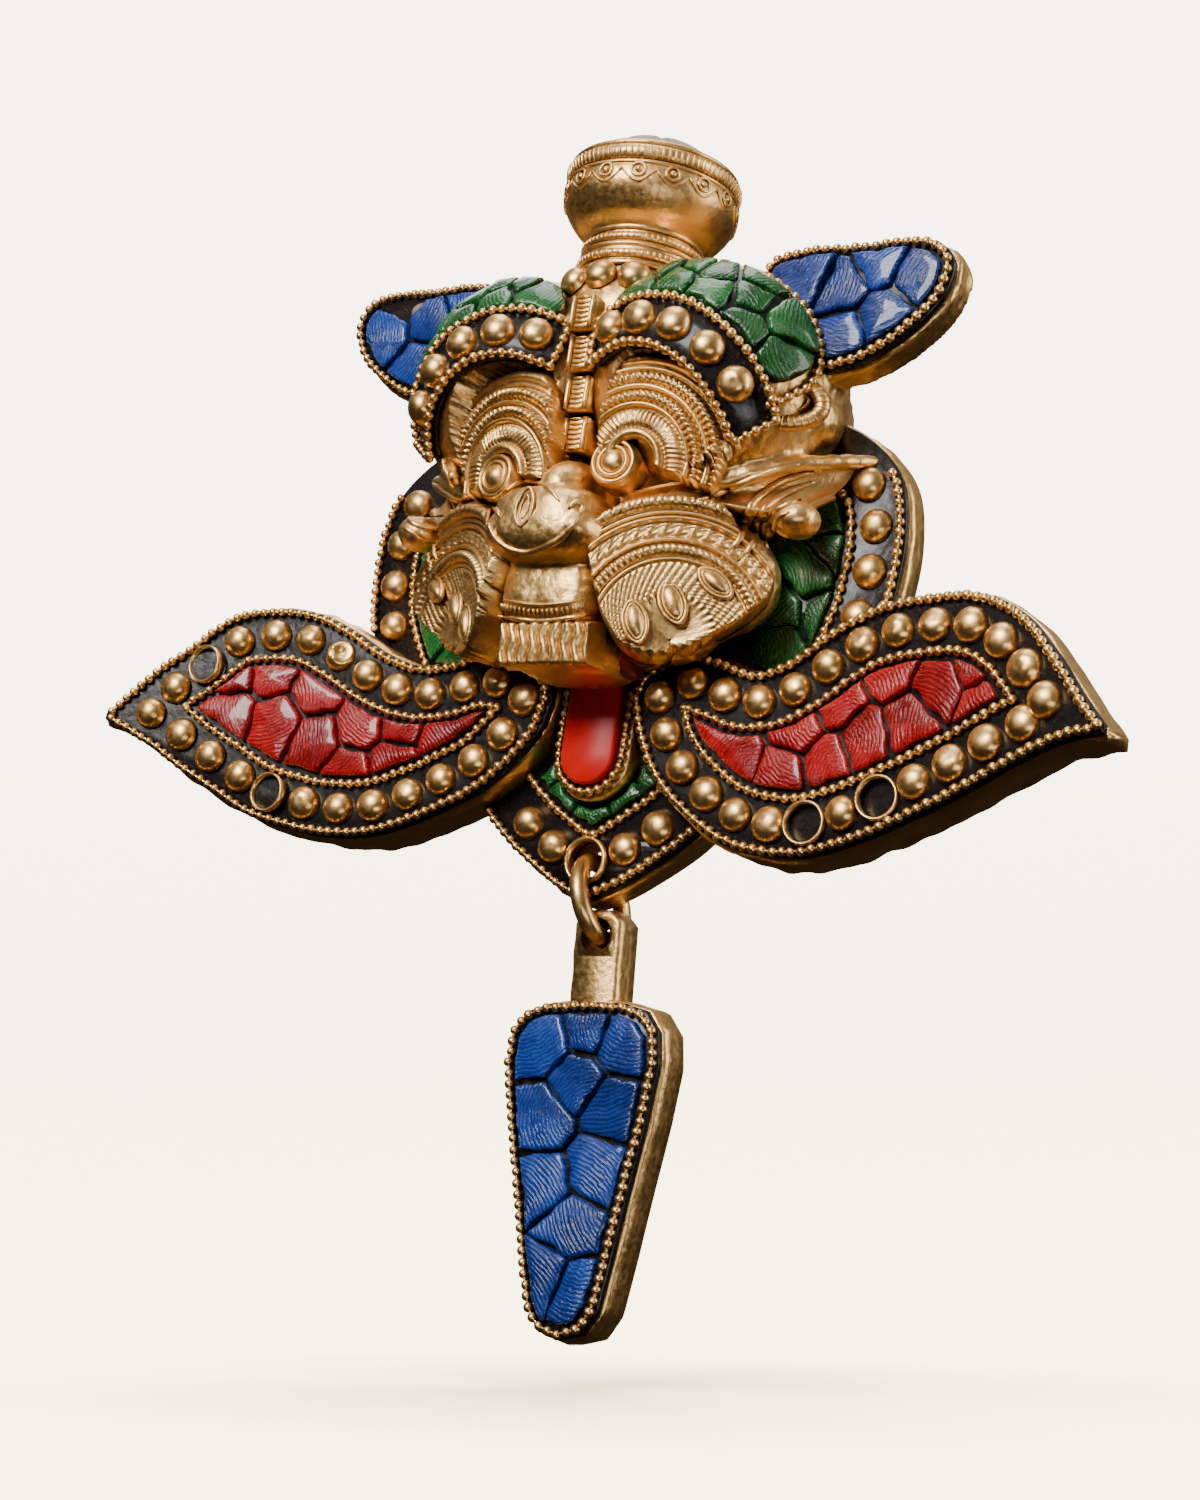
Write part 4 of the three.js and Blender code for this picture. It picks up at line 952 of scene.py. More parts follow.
def shift_at(z):
    return COLLAR_SHIFT * min(1.0, max(0.0, z / 20 + 0.5))


def plate_outline():
    half = {
        side: [(max(0.0, x + (side * shift_at(z) if x > 0 else 0)), z) for x, z in PLATE_HALF]
        for side in (1, -1)
    }
    left = [(-x, z) for x, z in half[-1][1:-1]]
    return smooth([*left, *half[1][::-1]], 1.5, True)


PLATE_LINE = plate_outline()


def ellipse(x, z, rx, rz, sides):
    return arc(0, 0, 1, 0, 360, sides)[:-1] * (rx, rz) + (x, z)


def round_the_mouth():
    """The plate's outline with the hollow cut out of its top."""
    middle, size = np.array([0, HOLLOW["z"]]), np.array([HOLLOW["r"][0], HOLLOW["r"][2]]) + 1.5
    mouth = arc(0, 0, 1, 0, 360, 48)[:-1] * size + middle
    out = [i for i, p in enumerate(PLATE_LINE) if not inside(mouth, p)]
    gap = next(k for k in range(len(out)) if out[(k + 1) % len(out)] != (out[k] + 1) % len(PLATE_LINE))
    order = out[gap + 1:] + out[: gap + 1]
    top = math.degrees(math.asin((PLATE_LINE[order[0]][1] - middle[1]) / size[1]))
    return np.vstack([PLATE_LINE[order], arc(0, 0, 1, top - 1, -179 - top, 60) * size + middle])


def leaf_rows(name, low, high, keep, stations=90, edge=0.0, wave=0.0, across=9):
    """Rings round the leaf, from its root to its tip."""
    top, bottom = EDGES[name]["top"], EDGES[name]["bottom"]
    face = LeafFront(SIDES[name])
    rows = []
    for x in np.linspace(top[0][0] + keep, top[-1][0] - keep, stations):
        t, b = height_at(top, x), height_at(bottom, x)
        middle = (t + b) / 2
        z0, z1 = min(b + keep, middle - keep / 2), max(t - keep, middle + keep / 2)
        side = [low, low + (high - low) * 0.3, low + (high - low) * 0.62, high - edge]
        ring = [(z0, h) for h in side]
        soft = min(edge, (z1 - z0) / 4)
        ring += [(z, high) for z in np.linspace(z0 + soft, z1 - soft, across)]
        ring += [(z1, h) for h in reversed(side)]
        row = []
        for z, h in ring:
            rough = wave * noise.noise(Vector((x / 5, h / 3, z / 9))) if h < high else 0
            row.append(face.at(x, z + rough, h))
        rows.append(row)
    return [row[:: SIDES[name]] for row in rows]


def add_back(shells):
    """The rim that lies on the wall, the hollow inside it and the bar that the hook holds."""
    sides, steps, bevel = 64, 16, 0.8
    turns = round_turn(sides)
    wide, deep, tall = HOLLOW["r"]
    mouth = np.array([wide, tall])
    rings = [
        (RIM["z"], RIM["r"], 0.0), (RIM["z"], RIM["r"], STAND_OFF - bevel),
        (RIM["z"], np.array(RIM["r"]) - bevel, STAND_OFF), (HOLLOW["z"], mouth + 0.6, STAND_OFF),
        (HOLLOW["z"], mouth, STAND_OFF - 0.6),
    ]
    rows = [[(r[0] * math.cos(t), y, z + r[1] * math.sin(t)) for t in turns] for z, r, y in rings]
    for i in range(1, steps):
        a = math.radians(90 * i / steps)
        y = STAND_OFF - deep * math.sin(a)
        row = []
        for t in turns:
            k = 1 + 0.02 * noise.noise(Vector((math.cos(t) * 3, i / 3, math.sin(t) * 3)))
            x, z = mouth * (math.cos(t), math.sin(t)) * math.cos(a) * k
            row.append((x, y, HOLLOW["z"] + z))
        rows.append(row)
    faces = grid_faces(len(rows), sides, True)
    foot = len(rows) * sides
    faces += fan(foot - sides, sides, foot)
    shells.add(np.vstack([*rows, [(0, STAND_OFF - deep, HOLLOW["z"])]]), faces)
    add_bar(shells)


def add_bar(shells):
    """A bar across the hollow, with its corners cut."""
    half = np.array([BAR["thick"], BAR["high"]]) / 2
    section = np.clip(arc(0, 0, 1, 0, 360, 12)[:-1] * half * 1.25, -half, half)
    y = STAND_OFF - BAR["recess"] - half[0]
    z = BAR["z"] + half[1]
    rows = [
        [(x, y + a, z + b) for a, b in section]
        for x in np.linspace(-BAR["long"] / 2, BAR["long"] / 2, 9)
    ]
    add_rows(shells, rows)


def tongue_outline(grow, top):
    r = TONGUE_W / 2 + grow
    return np.vstack([arc(0, TONGUE_BOTTOM + TONGUE_W / 2, r, 180, 360, 20), [(r, top), (-r, top)]])


def build_plate_and_leaves():
    shells = Shells()
    hole = ellipse(0, HOLE_Z, HOLE_R, HOLE_R, 32)
    add_slab(shells, round_the_mouth(), Flat(0), 0, PLATE, [hole], edge=0.7, wave=0.5)
    boss = tongue_outline(TONGUE_RIM, TONGUE_TOP)
    add_slab(shells, boss, Flat(0), PLATE / 2, TONGUE_FRONT, edge=0.5, wave=0.3)
    for name in SIDES:
        add_rows(shells, leaf_rows(name, -LEAF_THICK, 0, 0, edge=0.7, wave=0.9))
    add_back(shells)
    make_piece("plate_and_leaves", shells, "cast", "mask_casting")


# The carved head


def rounded_ball(sides, rings, power):
    """A ball that comes nearer to a box as the power rises."""
    points, faces = unit_ball(sides, rings)
    size = np.sum(np.abs(points) ** power, axis=1) ** (1 / power)
    return points / size[:, None], faces


def read_back(values, key, count):
    """Three numbers for each of a mesh's points."""
    found = np.zeros(count * 3, np.float32)
    values.foreach_get(key, found)
    return found.reshape(-1, 3).astype(float)


def melted(shells, voxel):
    """One skin round overlapping shells: its points, their directions outwards and its faces."""
    mesh = bpy.data.meshes.new("rough_head")
    mesh.from_pydata(placed(shells.points).tolist(), [], shells.faces)
    rough = in_scene("rough_head", mesh)
    melt = rough.modifiers.new("Melt", "REMESH")
    melt.mode = "VOXEL"
    melt.voxel_size = voxel
    soften = rough.modifiers.new("Soften", "SMOOTH")
    soften.factor = 0.5
    soften.iterations = 3
    bpy.context.view_layer.update()
    shown = rough.evaluated_get(bpy.context.evaluated_depsgraph_get())
    shape = shown.to_mesh()
    count = len(shape.vertices)
    points = read_back(shape.vertices, "co", count)
    normals = read_back(shape.vertex_normals, "vector", count)
    faces = [tuple(face.vertices) for face in shape.polygons]
    shown.to_mesh_clear()
    bpy.data.objects.remove(rough)
    return points / MM + ORIGIN, normals, faces


def rough_head(voxel):
    """The head's eggs, tubes and ears melted into one skin."""
    shells = Shells()
    ball = unit_ball(40, 24)
    box = rounded_ball(40, 24, 3.4)

    def egg(part, side=1, turn=0.0, shape=ball):
        (x, y, z), r = part
        c, s = math.cos(math.radians(turn)), math.sin(math.radians(turn))
        axes = (np.array([c, s * side, 0]), np.array([-s * side, c, 0]), np.array([0, 0, 1.0]))
        add_ball(shells, (np.array([side * x, y, z], float), *axes), np.array(r, float), shape)

    for part in (SKULL, CROWN, BRIDGE):
        egg(part)
    for part in (NOSE, MUZZLE, JAW):
        egg(part, shape=box)
    for side in SIDES.values():
        for part in (BROW, WING, LOBE, EAR_BOSS, TUSK):
            egg(part, side)
        egg(CHEEK, side, CHEEK_TURN)
        for x, y, z in smooth(CREST, 1.5):
            egg(((x, y, z), (CREST_R, CREST_R, 1.6)), side)
        ear = spaced(smooth(EAR, 1.5, True), 1.5, True)[::-1]
        add_slab(shells, ear, Flat(-EAR_FRONT, side), -EAR_THICK, 0, edge=0.6, wave=0.8)
    return melted(shells, voxel)


class Tilt:
    """An upright plane turned outwards, for relief that faces the camera's side."""

    unit = 1.0

    def __init__(self, at, turn, side, bulge=0.0, lean=0.0):
        a, e = math.radians(turn), math.radians(lean)
        self.side = side
        self.origin = np.array(at, float)
        self.out = np.array([math.sin(a) * math.cos(e), -math.cos(a) * math.cos(e), math.sin(e)])
        self.along = np.array([math.cos(a), math.sin(a), 0])
        self.up = np.cross(self.out, self.along)
        self.bulge = bulge

    def at(self, u, v, h):
        back = self.bulge * (u * u + v * v)
        p = self.origin + self.along * u + self.up * v + self.out * (h - back)
        return p * (self.side, 1, 1)


BAND_ROWS = (0.0, 0.12, 0.3, 0.5, 0.7, 0.88, 1.0)
FINE = 0.24
MOST_COLUMNS = 340


def band_height(kind, high, t, run, reach):
    """Height of a band at a share of its width, so far along it and so far from the middle."""
    top = high * (1 - abs(2 * t - 1) ** 3.5)
    if kind == RIB:
        return top * (0.5 + 0.62 * abs(math.cos(math.pi * (run + 0.35 * t) / 1.3)) ** 0.7)
    if kind == HATCH:
        return high * (1 - abs(2 * t - 1) ** 8) * (0.7 + 0.4 * abs(math.cos(math.pi * run / 0.95)) ** 0.8)
    if kind == CROSS:
        one = abs(math.sin(math.pi * (run + reach) / 1.5)) ** 0.5
        two = abs(math.sin(math.pi * (run - reach) / 1.5)) ** 0.5
        return high * (0.4 + 0.75 * one * two)
    if kind == RINGS:
        pitch = 2.9
        beat = (run / pitch) % 1 - 0.5
        d = math.hypot(beat * pitch, (t - 0.5) * 3.4)
        ring = math.exp(-(((d - 1.05) / 0.3) ** 2)) * 0.75 + math.exp(-((d / 0.42) ** 2)) * 0.5
        return high * (0.35 + ring)
    return top


def relief(shells, face, edge, bands, turns, base, wall=8.0, closed=False):
    """A carved disc or fan: bands round a middle, out to an edge that falls back into the head."""
    start, end = turns
    columns = min(MOST_COLUMNS, round(math.radians(end - start) * max(r for _, r in edge) / FINE))
    angles = np.linspace(start, end, columns + 1)[: columns if closed else columns + 1]
    reach = np.interp(angles, [a for a, _ in edge], [r for _, r in edge])
    rows = []
    for low, high_r, kind, high in bands:
        steps = BAND_ROWS
        if kind in (CROSS, RINGS):
            steps = np.linspace(0, 1, 1 + round((high_r - low) / FINE))
        for t in steps[:-1]:
            rows.append((low + (high_r - low) * t, kind, high, t))
    rows.append((bands[-1][1], PLAIN, 0.0, 0.0))
    grid = []
    for r, kind, high, t in rows:
        row = []
        for angle, limit in zip(angles, reach):
            a = math.radians(angle)
            shown = min(r, limit)
            h = base(shown, angle) + band_height(kind, high, t, a * r, r)
            over = r - limit
            near = min(angle - start, end - angle) * math.radians(1) * max(r, 1)
            if not closed:
                over = max(over, 0.8 - near)
            if over > 0:
                h -= wall * (1 - math.exp(-over / 1.1))
            row.append(face.at(shown * math.cos(a), shown * math.sin(a), h))
        grid.append(row)
    foot = np.minimum(bands[-1][1], reach)
    turned = np.radians(angles)
    grid.append([face.at(u, v, -wall) for u, v in zip(foot * np.cos(turned), foot * np.sin(turned))])
    faces = grid_faces(len(grid), len(grid[0]), closed)
    if face.side > 0:
        faces = [tuple(reversed(quad)) for quad in faces]
    shells.add(np.vstack(grid), faces)


class Skin:
    """The carved head, for setting small forms on it."""

    def __init__(self, points, faces):
        self.tree = BVHTree.FromPolygons([tuple(p) for p in points], faces)
        self.eye = np.array(VIEW_AT) + ORIGIN
        self.axes = [np.array(axis) for axis in view_axes()]

    def spot(self, p, along):
        near, out, _, _ = self.tree.find_nearest(Vector(p))
        out = np.array(out)
        along = np.array(along, float)
        along = unit_of(along - out * np.dot(along, out))
        return np.array(near), along, np.cross(out, along), out

    def seen(self, x, y):
        """The point of the skin that the photograph shows at a pixel."""
        across, up, back = self.axes
        way = across * (x - VIEW_CENTRE[0]) / FOCAL - up * (y - VIEW_CENTRE[1]) / FOCAL - back
        found, _, _, _ = self.tree.ray_cast(Vector(self.eye), Vector(way).normalized())
        return None if found is None else np.array(found)

    def traced(self, pixels, step=4):
        line = [self.seen(x, y) for x, y in smooth(pixels, step)]
        return np.array([p for p in line if p is not None])


def add_tube(shells, path, r, outs=None, flat=1.0, sides=8, taper=0.35):
    """A raised line along a path, thinner at its ends."""
    path = as_points(path)
    along = units_of(np.gradient(path, axis=0))
    if outs is None:
        outs = [np.array([0.4, -0.9, 0.0])] * len(path)
    rows = []
    for i, (p, out) in enumerate(zip(path, outs)):
        up = unit_of(out - along[i] * np.dot(out, along[i]))
        across = np.cross(up, along[i])
        end = min(i, len(path) - 1 - i) / max(1, len(path) * 0.2)
        size = r * (taper + (1 - taper) * min(1.0, end))
        rows.append(circle_at(p, across * size, up * flat * size, sides))
    add_rows(shells, rows)


def ribs_along(shells, skin, path, pitch, radii, lift):
    """Short ribs across a path, like the notches of a file."""
    line = spaced(path, pitch)
    for a, b in zip(line, line[1:]):
        p, along, across, out = skin.spot((a + b) / 2, b - a)
        add_ball(shells, (p + out * lift, along, across, out), radii, LUMP)


def add_hoop(shells, spot, a, b, wire, sides=24, lift=0.1, pinch=0.0):
    """A raised oval outline, drawn to points at its ends when pinched."""
    p, along, across, out = spot
    rows = []
    for t in round_turn(sides):
        narrow = 1 - pinch * abs(math.cos(t)) ** 3
        radial = along * math.cos(t) * a + across * math.sin(t) * b * narrow
        rows.append(circle_at(p + radial + out * lift, unit_of(radial) * wire, out * wire, 8))
    add_rows(shells, rows, True, True)


def arch_lift(r, angle):
    return 5.2 * np.minimum(1.0, r / 20) * np.maximum(0.0, np.sin(np.radians(angle)))


def add_brow_relief(shells, name, side):
    """Nested arches over an eye, and the eye itself."""
    face = Tilt(ARCHES[name], ARCH_TURN, side, 0.011)
    relief(shells, face, ARCH_EDGE[name], ARCH_BANDS, ARCH_TURNS, arch_lift)
    face = Tilt(EYES[name], ARCH_TURN, side, 0.02)
    relief(shells, face, EYE_EDGE, EYE_BANDS, (0, 360), lambda r, angle: 0.4, 5.0, True)
    add_dome(shells, spot_on(face, (0, 0), 0.4), 2.7, 2.0, sides=24)
    add_hoop(shells, spot_on(face, (0, 0), 2.0), 1.3, 0.5, 0.2, lift=0.0, pinch=0.4)


def add_cheek_relief(shells, side):
    """The ribbed, ringed and cross-cut bands of a cheek, over its row of outlined teeth."""
    face = Tilt(CHEEK_AT, CHEEK_TURN, side)

    def lift(r, angle):
        share = min(1.0, r / 19)
        return 3.2 * share * share * (3 - 2 * share)

    relief(shells, face, CHEEK_EDGE, CHEEK_BANDS, (-60, 300), lift, 9.0, True)
    for u, v, turn, long, wide in CHEEK_TEETH:
        spot = spot_on(face, (u, v), 1.1 + lift(math.hypot(u, v), 0), math.radians(turn))
        add_ball(shells, spot, (long * 0.8, wide * 0.72, 1.3), unit_ball(20, 12))
        add_hoop(shells, spot, long * 0.82, wide * 0.7, 0.3, lift=0.35, pinch=0.25)
        add_hoop(shells, spot, long, wide, 0.55, lift=0.0, pinch=0.25)


def carve_niches(points):
    """Cuts the head back behind the arches over the eyes."""
    for name, side in SIDES.items():
        face = Tilt(ARCHES[name], ARCH_TURN, side, 0.011)
        away = points * (side, 1, 1) - face.origin
        u, v, h = away @ face.along, away @ face.up, away @ face.out
        r = np.hypot(u, v)
        angle = np.degrees(np.arctan2(v, u))
        angle = np.where(angle < -90, angle + 360, angle)
        reach = np.interp(angle, *zip(*ARCH_EDGE[name])) + 0.4
        floor = arch_lift(r, angle) - NICHE - face.bulge * r * r
        deep = (r < reach) & (angle > ARCH_TURNS[0]) & (angle < ARCH_TURNS[1]) & (h > floor)
        deep |= (r < 6) & (h > floor)
        move = np.where(deep, floor - h, 0)
        points = points + (face.out * (side, 1, 1)) * move[:, None]
    return points


def add_valley(shells, side):
    """The smooth hollow between a cheek's top ridge and the edge under the ear."""
    low, high = (resampled(smooth(line, 1.0), 40) * (side, 1, 1) for line in (VALLEY_LOW, VALLEY_HIGH))
    rows = []
    for t in np.linspace(-0.15, 1.15, 16):
        sag = VALLEY_SAG * (1 - (2 * min(1.0, max(0.0, t)) - 1) ** 2) + (4.0 if t < 0 or t > 1 else 0)
        away = np.array([-0.35 * side, 0.93, 0.1]) * sag
        rows.append(low + (high - low) * min(1.02, max(-0.02, t)) + away)
    faces = grid_faces(len(rows), len(rows[0]))
    if side > 0:
        faces = [tuple(reversed(quad)) for quad in faces]
    shells.add(np.vstack(rows), faces)


def add_teeth(shells):
    """The block of wavy front teeth under the lip."""
    face = Tilt(TEETH["at"], 0, 1, 0.004, -8)
    half, tall = TEETH["half"], TEETH["tall"]
    pitch = 2 * half / TEETH["count"]
    shift = (0.5 - TEETH["count"] % 2 / 2) * pitch
    rows = []
    for v in np.linspace(-tall, tall, 30):
        row = []
        for u in np.linspace(-half, half, 180):
            wave = u + 0.4 * math.sin(v * 1.1 + u * 0.3)
            tooth = abs(math.cos(math.pi * (wave + half + shift) / pitch - math.pi / 2)) ** 0.45
            edge = min(1.0, (half - abs(u)) / 1.2, (tall - abs(v)) / 0.8)
            row.append(face.at(u, v, 1.5 * tooth * max(0.0, edge) ** 0.5 - 3.5 * (1 - edge)))
        rows.append(row)
    faces = [tuple(reversed(quad)) for quad in grid_faces(len(rows), len(rows[0]))]
    shells.add(np.vstack(rows), faces)


def add_ridge(shells):
    """Ladder blocks between the brows."""
    step = (RIDGE["top"][1] - RIDGE["foot"][1]) / RIDGE["blocks"]
    for i in range(RIDGE["blocks"]):
        share = i / (RIDGE["blocks"] - 1)
        y = RIDGE["top"][0] + (RIDGE["foot"][0] - RIDGE["top"][0]) * share
        z = RIDGE["top"][1] - i * step
        tall = step - RIDGE["gap"]
        line = as_points([(-1, 0), (1, 0), (1, 1), (-1, 1)]) * (RIDGE["half"], tall) + (0, z - tall)
        add_slab(shells, spaced(line, 0.9, True), Flat(y + RIDGE["deep"]), 0, RIDGE["deep"] - 0.5, edge=0.35)
        for x in (-1, 1):
            post = [(x * RIDGE["half"] * 0.78, y + 0.3, h) for h in np.linspace(z - tall + 0.3, z - 0.3, 5)]
            add_tube(shells, post, 0.55, taper=1.0)
        for k in range(7):
            at = (0, y + 0.5, z - tall + (k + 0.5) * tall / 7)
            axes = (np.array([1.0, 0, 0]), np.array([0, 0, 1.0]), np.array([0, -1.0, 0]))
            add_ball(shells, (np.array(at), *axes), (1.7, 0.36, 0.65), LUMP)


def add_drawn_lines(shells, skin):
    """Raised lines where the photograph shows them, and their mirror images on the left."""
    for pixels, r, mirrored in DRAWN_LINES:
        path = skin.traced(pixels)
        if len(path) < 3:
            continue
        for side in (1, -1) if mirrored else (1,):
            line = path * (side, 1, 1)
            outs = [skin.spot(p, (0, 0, 1))[3] for p in line]
            add_tube(shells, line, r, outs)


def add_ear_coil(shells, skin, side):
    """A ribbed coil round a slit leaf."""
    face = Tilt(COIL["at"], COIL["turn"], side)
    path = arc(0, 0, 1, *COIL["sweep"], 40) * COIL["r"]
    line = np.array([face.at(u, v, 0) for u, v in path])
    add_tube(shells, line, COIL["thick"], [face.out * (side, 1, 1)] * len(line), sides=12, taper=0.6)
    for u, v in spaced(path, 1.3)[1:-1]:
        turn = math.atan2(v / COIL["r"][1], u / COIL["r"][0])
        spot = spot_on(face, (u, v), 0.6, turn)
        add_ball(shells, spot, (COIL["thick"] * 1.02, 0.4, COIL["thick"] * 0.8), LUMP)
    leaf = spot_on(face, (0, 0), -0.6, math.radians(12))
    add_ball(shells, leaf, (COIL["r"][0] * 0.62, COIL["r"][1] * 0.5, 1.6), unit_ball(20, 12))
    add_hoop(shells, leaf, COIL["r"][0] * 0.62, COIL["r"][1] * 0.5, 0.45, lift=0.8, pinch=0.3)
    add_hoop(shells, leaf, COIL["r"][0] * 0.3, 0.35, 0.25, lift=1.5)
    crest = smooth(RIBBED_CREST, 1.0) * (side, 1, 1)
    outs = [skin.spot(p, (0, 0, 1))[3] for p in crest]
    add_tube(shells, crest, 2.3, outs, 0.8, 12, 0.6)
    for p in spaced(crest, 1.35)[1:-1]:
        _, along, across, out = skin.spot(p, crest[-1] - crest[0])
        add_ball(shells, (p + out * 1.1, along, across, out), (0.45, 2.3, 1.1), LUMP)


def open_behind(points, faces):
    """The faces of the head, without those that would close the hollow at the back."""
    share = math.sqrt(1 - (STAND_OFF / HOLLOW["r"][1]) ** 2)
    shown = []
    for face in faces:
        x, y, z = points[face[0]]
        across = x / (HOLLOW["r"][0] * share)
        up = (z - HOLLOW["z"]) / (HOLLOW["r"][2] * share)
        if y < -0.05 or across**2 + up**2 > 1:
            shown.append(face)
    return shown


def add_nose_mark(shells, skin):
    """The pointed oval between the nostrils, a small one inside a large one."""
    spot = skin.spot(skin.seen(*NOSE_MARK), (0.12, 0, 1))
    add_hoop(shells, spot, 3.9, 2.0, 0.42, 28, pinch=0.3)
    add_hoop(shells, spot, 2.4, 0.9, 0.25, 24, pinch=0.3)


def build_head():
    sizes = bpy.context.scene.hanging_sizes
    points, normals, faces = rough_head(sizes.voxel)
    wander = np.array([noise.noise(Vector(p / 2.4)) + 0.5 * noise.noise(Vector(p / 1.1)) for p in points])
    points = carve_niches(points + normals * (wander * 0.2)[:, None])
    points[:, 1] = np.minimum(points[:, 1], 0)
    base = Shells()
    base.add(points, open_behind(points, faces))
    loose_points_off(make_piece("carved_head", base, "cast", "mask_casting"))
    brows, cheeks = Shells(), Shells()
    for name, side in SIDES.items():
        add_brow_relief(brows, name, side)
        add_cheek_relief(cheeks, side)
        add_valley(cheeks, side)
    add_teeth(cheeks)
    make_piece("carved_brows", brows, "cast", "mask_casting")
    make_piece("carved_cheeks", cheeks, "cast", "mask_casting")
    whole = Shells()
    for part in ((points, faces), (brows.points, brows.faces), (cheeks.points, cheeks.faces)):
        whole.add(*part)
    skin = Skin(whole.points, whole.faces)
    trim = Shells()
    add_ridge(trim)
    add_drawn_lines(trim, skin)
    for side in SIDES.values():
        add_ear_coil(trim, skin, side)
    ribs_along(trim, skin, skin.traced(LIP_LINE), 1.1, (0.32, 0.75, 0.5), 0.2)
    add_nose_mark(trim, skin)
    make_piece("face_lines", trim, "cast", "mask_casting")


def loose_points_off(piece):
    """Drops points that no face uses."""
    mesh = piece.data
    used = np.zeros(len(mesh.vertices), bool)
    corners = np.zeros(len(mesh.loops), np.int32)
    mesh.loops.foreach_get("vertex_index", corners)
    used[corners] = True
    if used.all():
        return
    work = bmesh.new()
    work.from_mesh(mesh)
    bmesh.ops.delete(work, geom=[v for v in work.verts if not v.link_faces], context="VERTS")
    work.to_mesh(mesh)
    work.free()


# The knob


def knob_radius(z):
    profile = smooth(KNOB, 0.6)
    return float(np.interp(z, profile[:, 1], profile[:, 0]))


def knob_spot(turn, z, lift=0.0):
    a = math.radians(turn)
    r = knob_radius(z)
    slope = (knob_radius(z + 0.3) - knob_radius(z - 0.3)) / 0.6
    out = unit_of(np.array([math.sin(a), -math.cos(a), -slope]))
    across = np.array([math.cos(a), math.sin(a), 0])
    p = np.array([r * math.sin(a), KNOB_Y - r * math.cos(a), KNOB_Z + z]) + out * lift
    return p, across, np.cross(out, across), out


def add_knob_ring(shells, z, wire, pitch=0.0, tall=1.0):
    """A raised band round the knob, plain or ribbed."""
    rows = []
    for turn in np.linspace(0, 360, 96, endpoint=False):
        p, _, up, out = knob_spot(turn, z)
        rows.append(circle_at(p, up * tall * wire, out * wire, 10))
    add_rows(shells, rows, True, True)
    if pitch:
        count = round(2 * math.pi * knob_radius(z) / pitch)
        for i in range(count):
            spot = knob_spot(360 * i / count, z, wire * 0.75)
            add_ball(shells, spot, (pitch * 0.3, wire * tall * 0.85, wire * 0.45), LUMP)


def add_swag(shells, turn, width):
    """A boss in a ring over a hanging loop of wire."""
    add_ball(shells, knob_spot(turn, SWAG_Z, 0.1), (0.8, 0.8, 0.6), LUMP)
    add_hoop(shells, knob_spot(turn, SWAG_Z), 1.45, 1.45, 0.32)
    rows = []
    for share in np.linspace(-0.5, 0.5, 9):
        height = SWAG_Z + 0.2 - SWAG_DROP * math.sin(math.pi * (share + 0.5))
        p, _, up, out = knob_spot(turn + width * share, height)
        rows.append(circle_at(p, up * SWAG_WIRE, out * SWAG_WIRE, 8))
    add_rows(shells, rows)


def build_knob():
    profile = smooth(KNOB, 0.6)
    rows = []
    for r, z in profile:
        row = []
        for turn in round_turn(144):
            fold = 0.0
            if z > PETALS_FROM and r > 1:
                beat = abs(math.sin(PETALS * turn / 2 + z * 0.12))
                fold = -0.75 * math.exp(-((beat * 3.2) ** 2)) + 0.3 * beat
            reach = r + fold * min(1.0, r / 4)
            row.append((reach * math.sin(turn), KNOB_Y - reach * math.cos(turn), KNOB_Z + z))
        rows.append(row)
    split = next(i for i, (_, z) in enumerate(profile) if z > PETALS_FROM + 0.4)
    petals = Shells()
    add_rows(petals, rows[split:], caps=False)
    make_piece("knob_petals", petals, "petal", "mask_casting")
    shells = Shells()
    add_rows(shells, rows[: split + 1], caps=False)
    for ring in KNOB_RINGS:
        add_knob_ring(shells, *ring)
    for i in range(SWAGS):
        add_swag(shells, 360 * i / SWAGS, 360 / SWAGS)
    make_piece("crown_knob", shells, "knob", "mask_casting")


# Lac, chains, beads and chips


def collar_line(name, keep, clear):
    side = SIDES[name]
    mirrored = PLATE_LINE * (side, 1)
    line = inset(mirrored if side > 0 else mirrored[::-1], keep)
    top = EDGES[name]["top"]
    roof = COLLAR_TOP + 3 - keep * 0.4
    shown = [p for p in line if p[0] > 20 and height_at(top, p[0]) + clear < p[1] < roof]
    return np.array(sorted(shown, key=lambda p: p[1]))


def skull_edge(z):
    (_, cy, cz), (rx, ry, rz) = SKULL
    return rx * math.sqrt(max(0.0, 1 - ((cy + PLATE) / ry) ** 2 - ((z - cz) / rz) ** 2))


def collar_region(name, keep, clear):
    outer = collar_line(name, keep, clear)
    levels = [z for z in np.arange(outer[-1][1], 0, -4) if skull_edge(z) > COLLAR_FROM]
    inner = [(skull_edge(z) + clear - 2, z) for z in levels]
    start, end = inner[-1][0], outer[0][0]
    top = EDGES[name]["top"]
    lower = [(x, height_at(top, x) + clear) for x in np.arange(start + 2, end - 2, 4)]
    return np.array([*lower, *outer, *inner])


def petal_line(keep, clear):
    kept = []
    for x, z in inset(PLATE_LINE, keep):
        name = "right" if x > 0 else "left"
        if z < -12 and z < height_at(EDGES[name]["bottom"], abs(x)) - clear:
            kept.append((x, z))
    return np.array(sorted(kept))


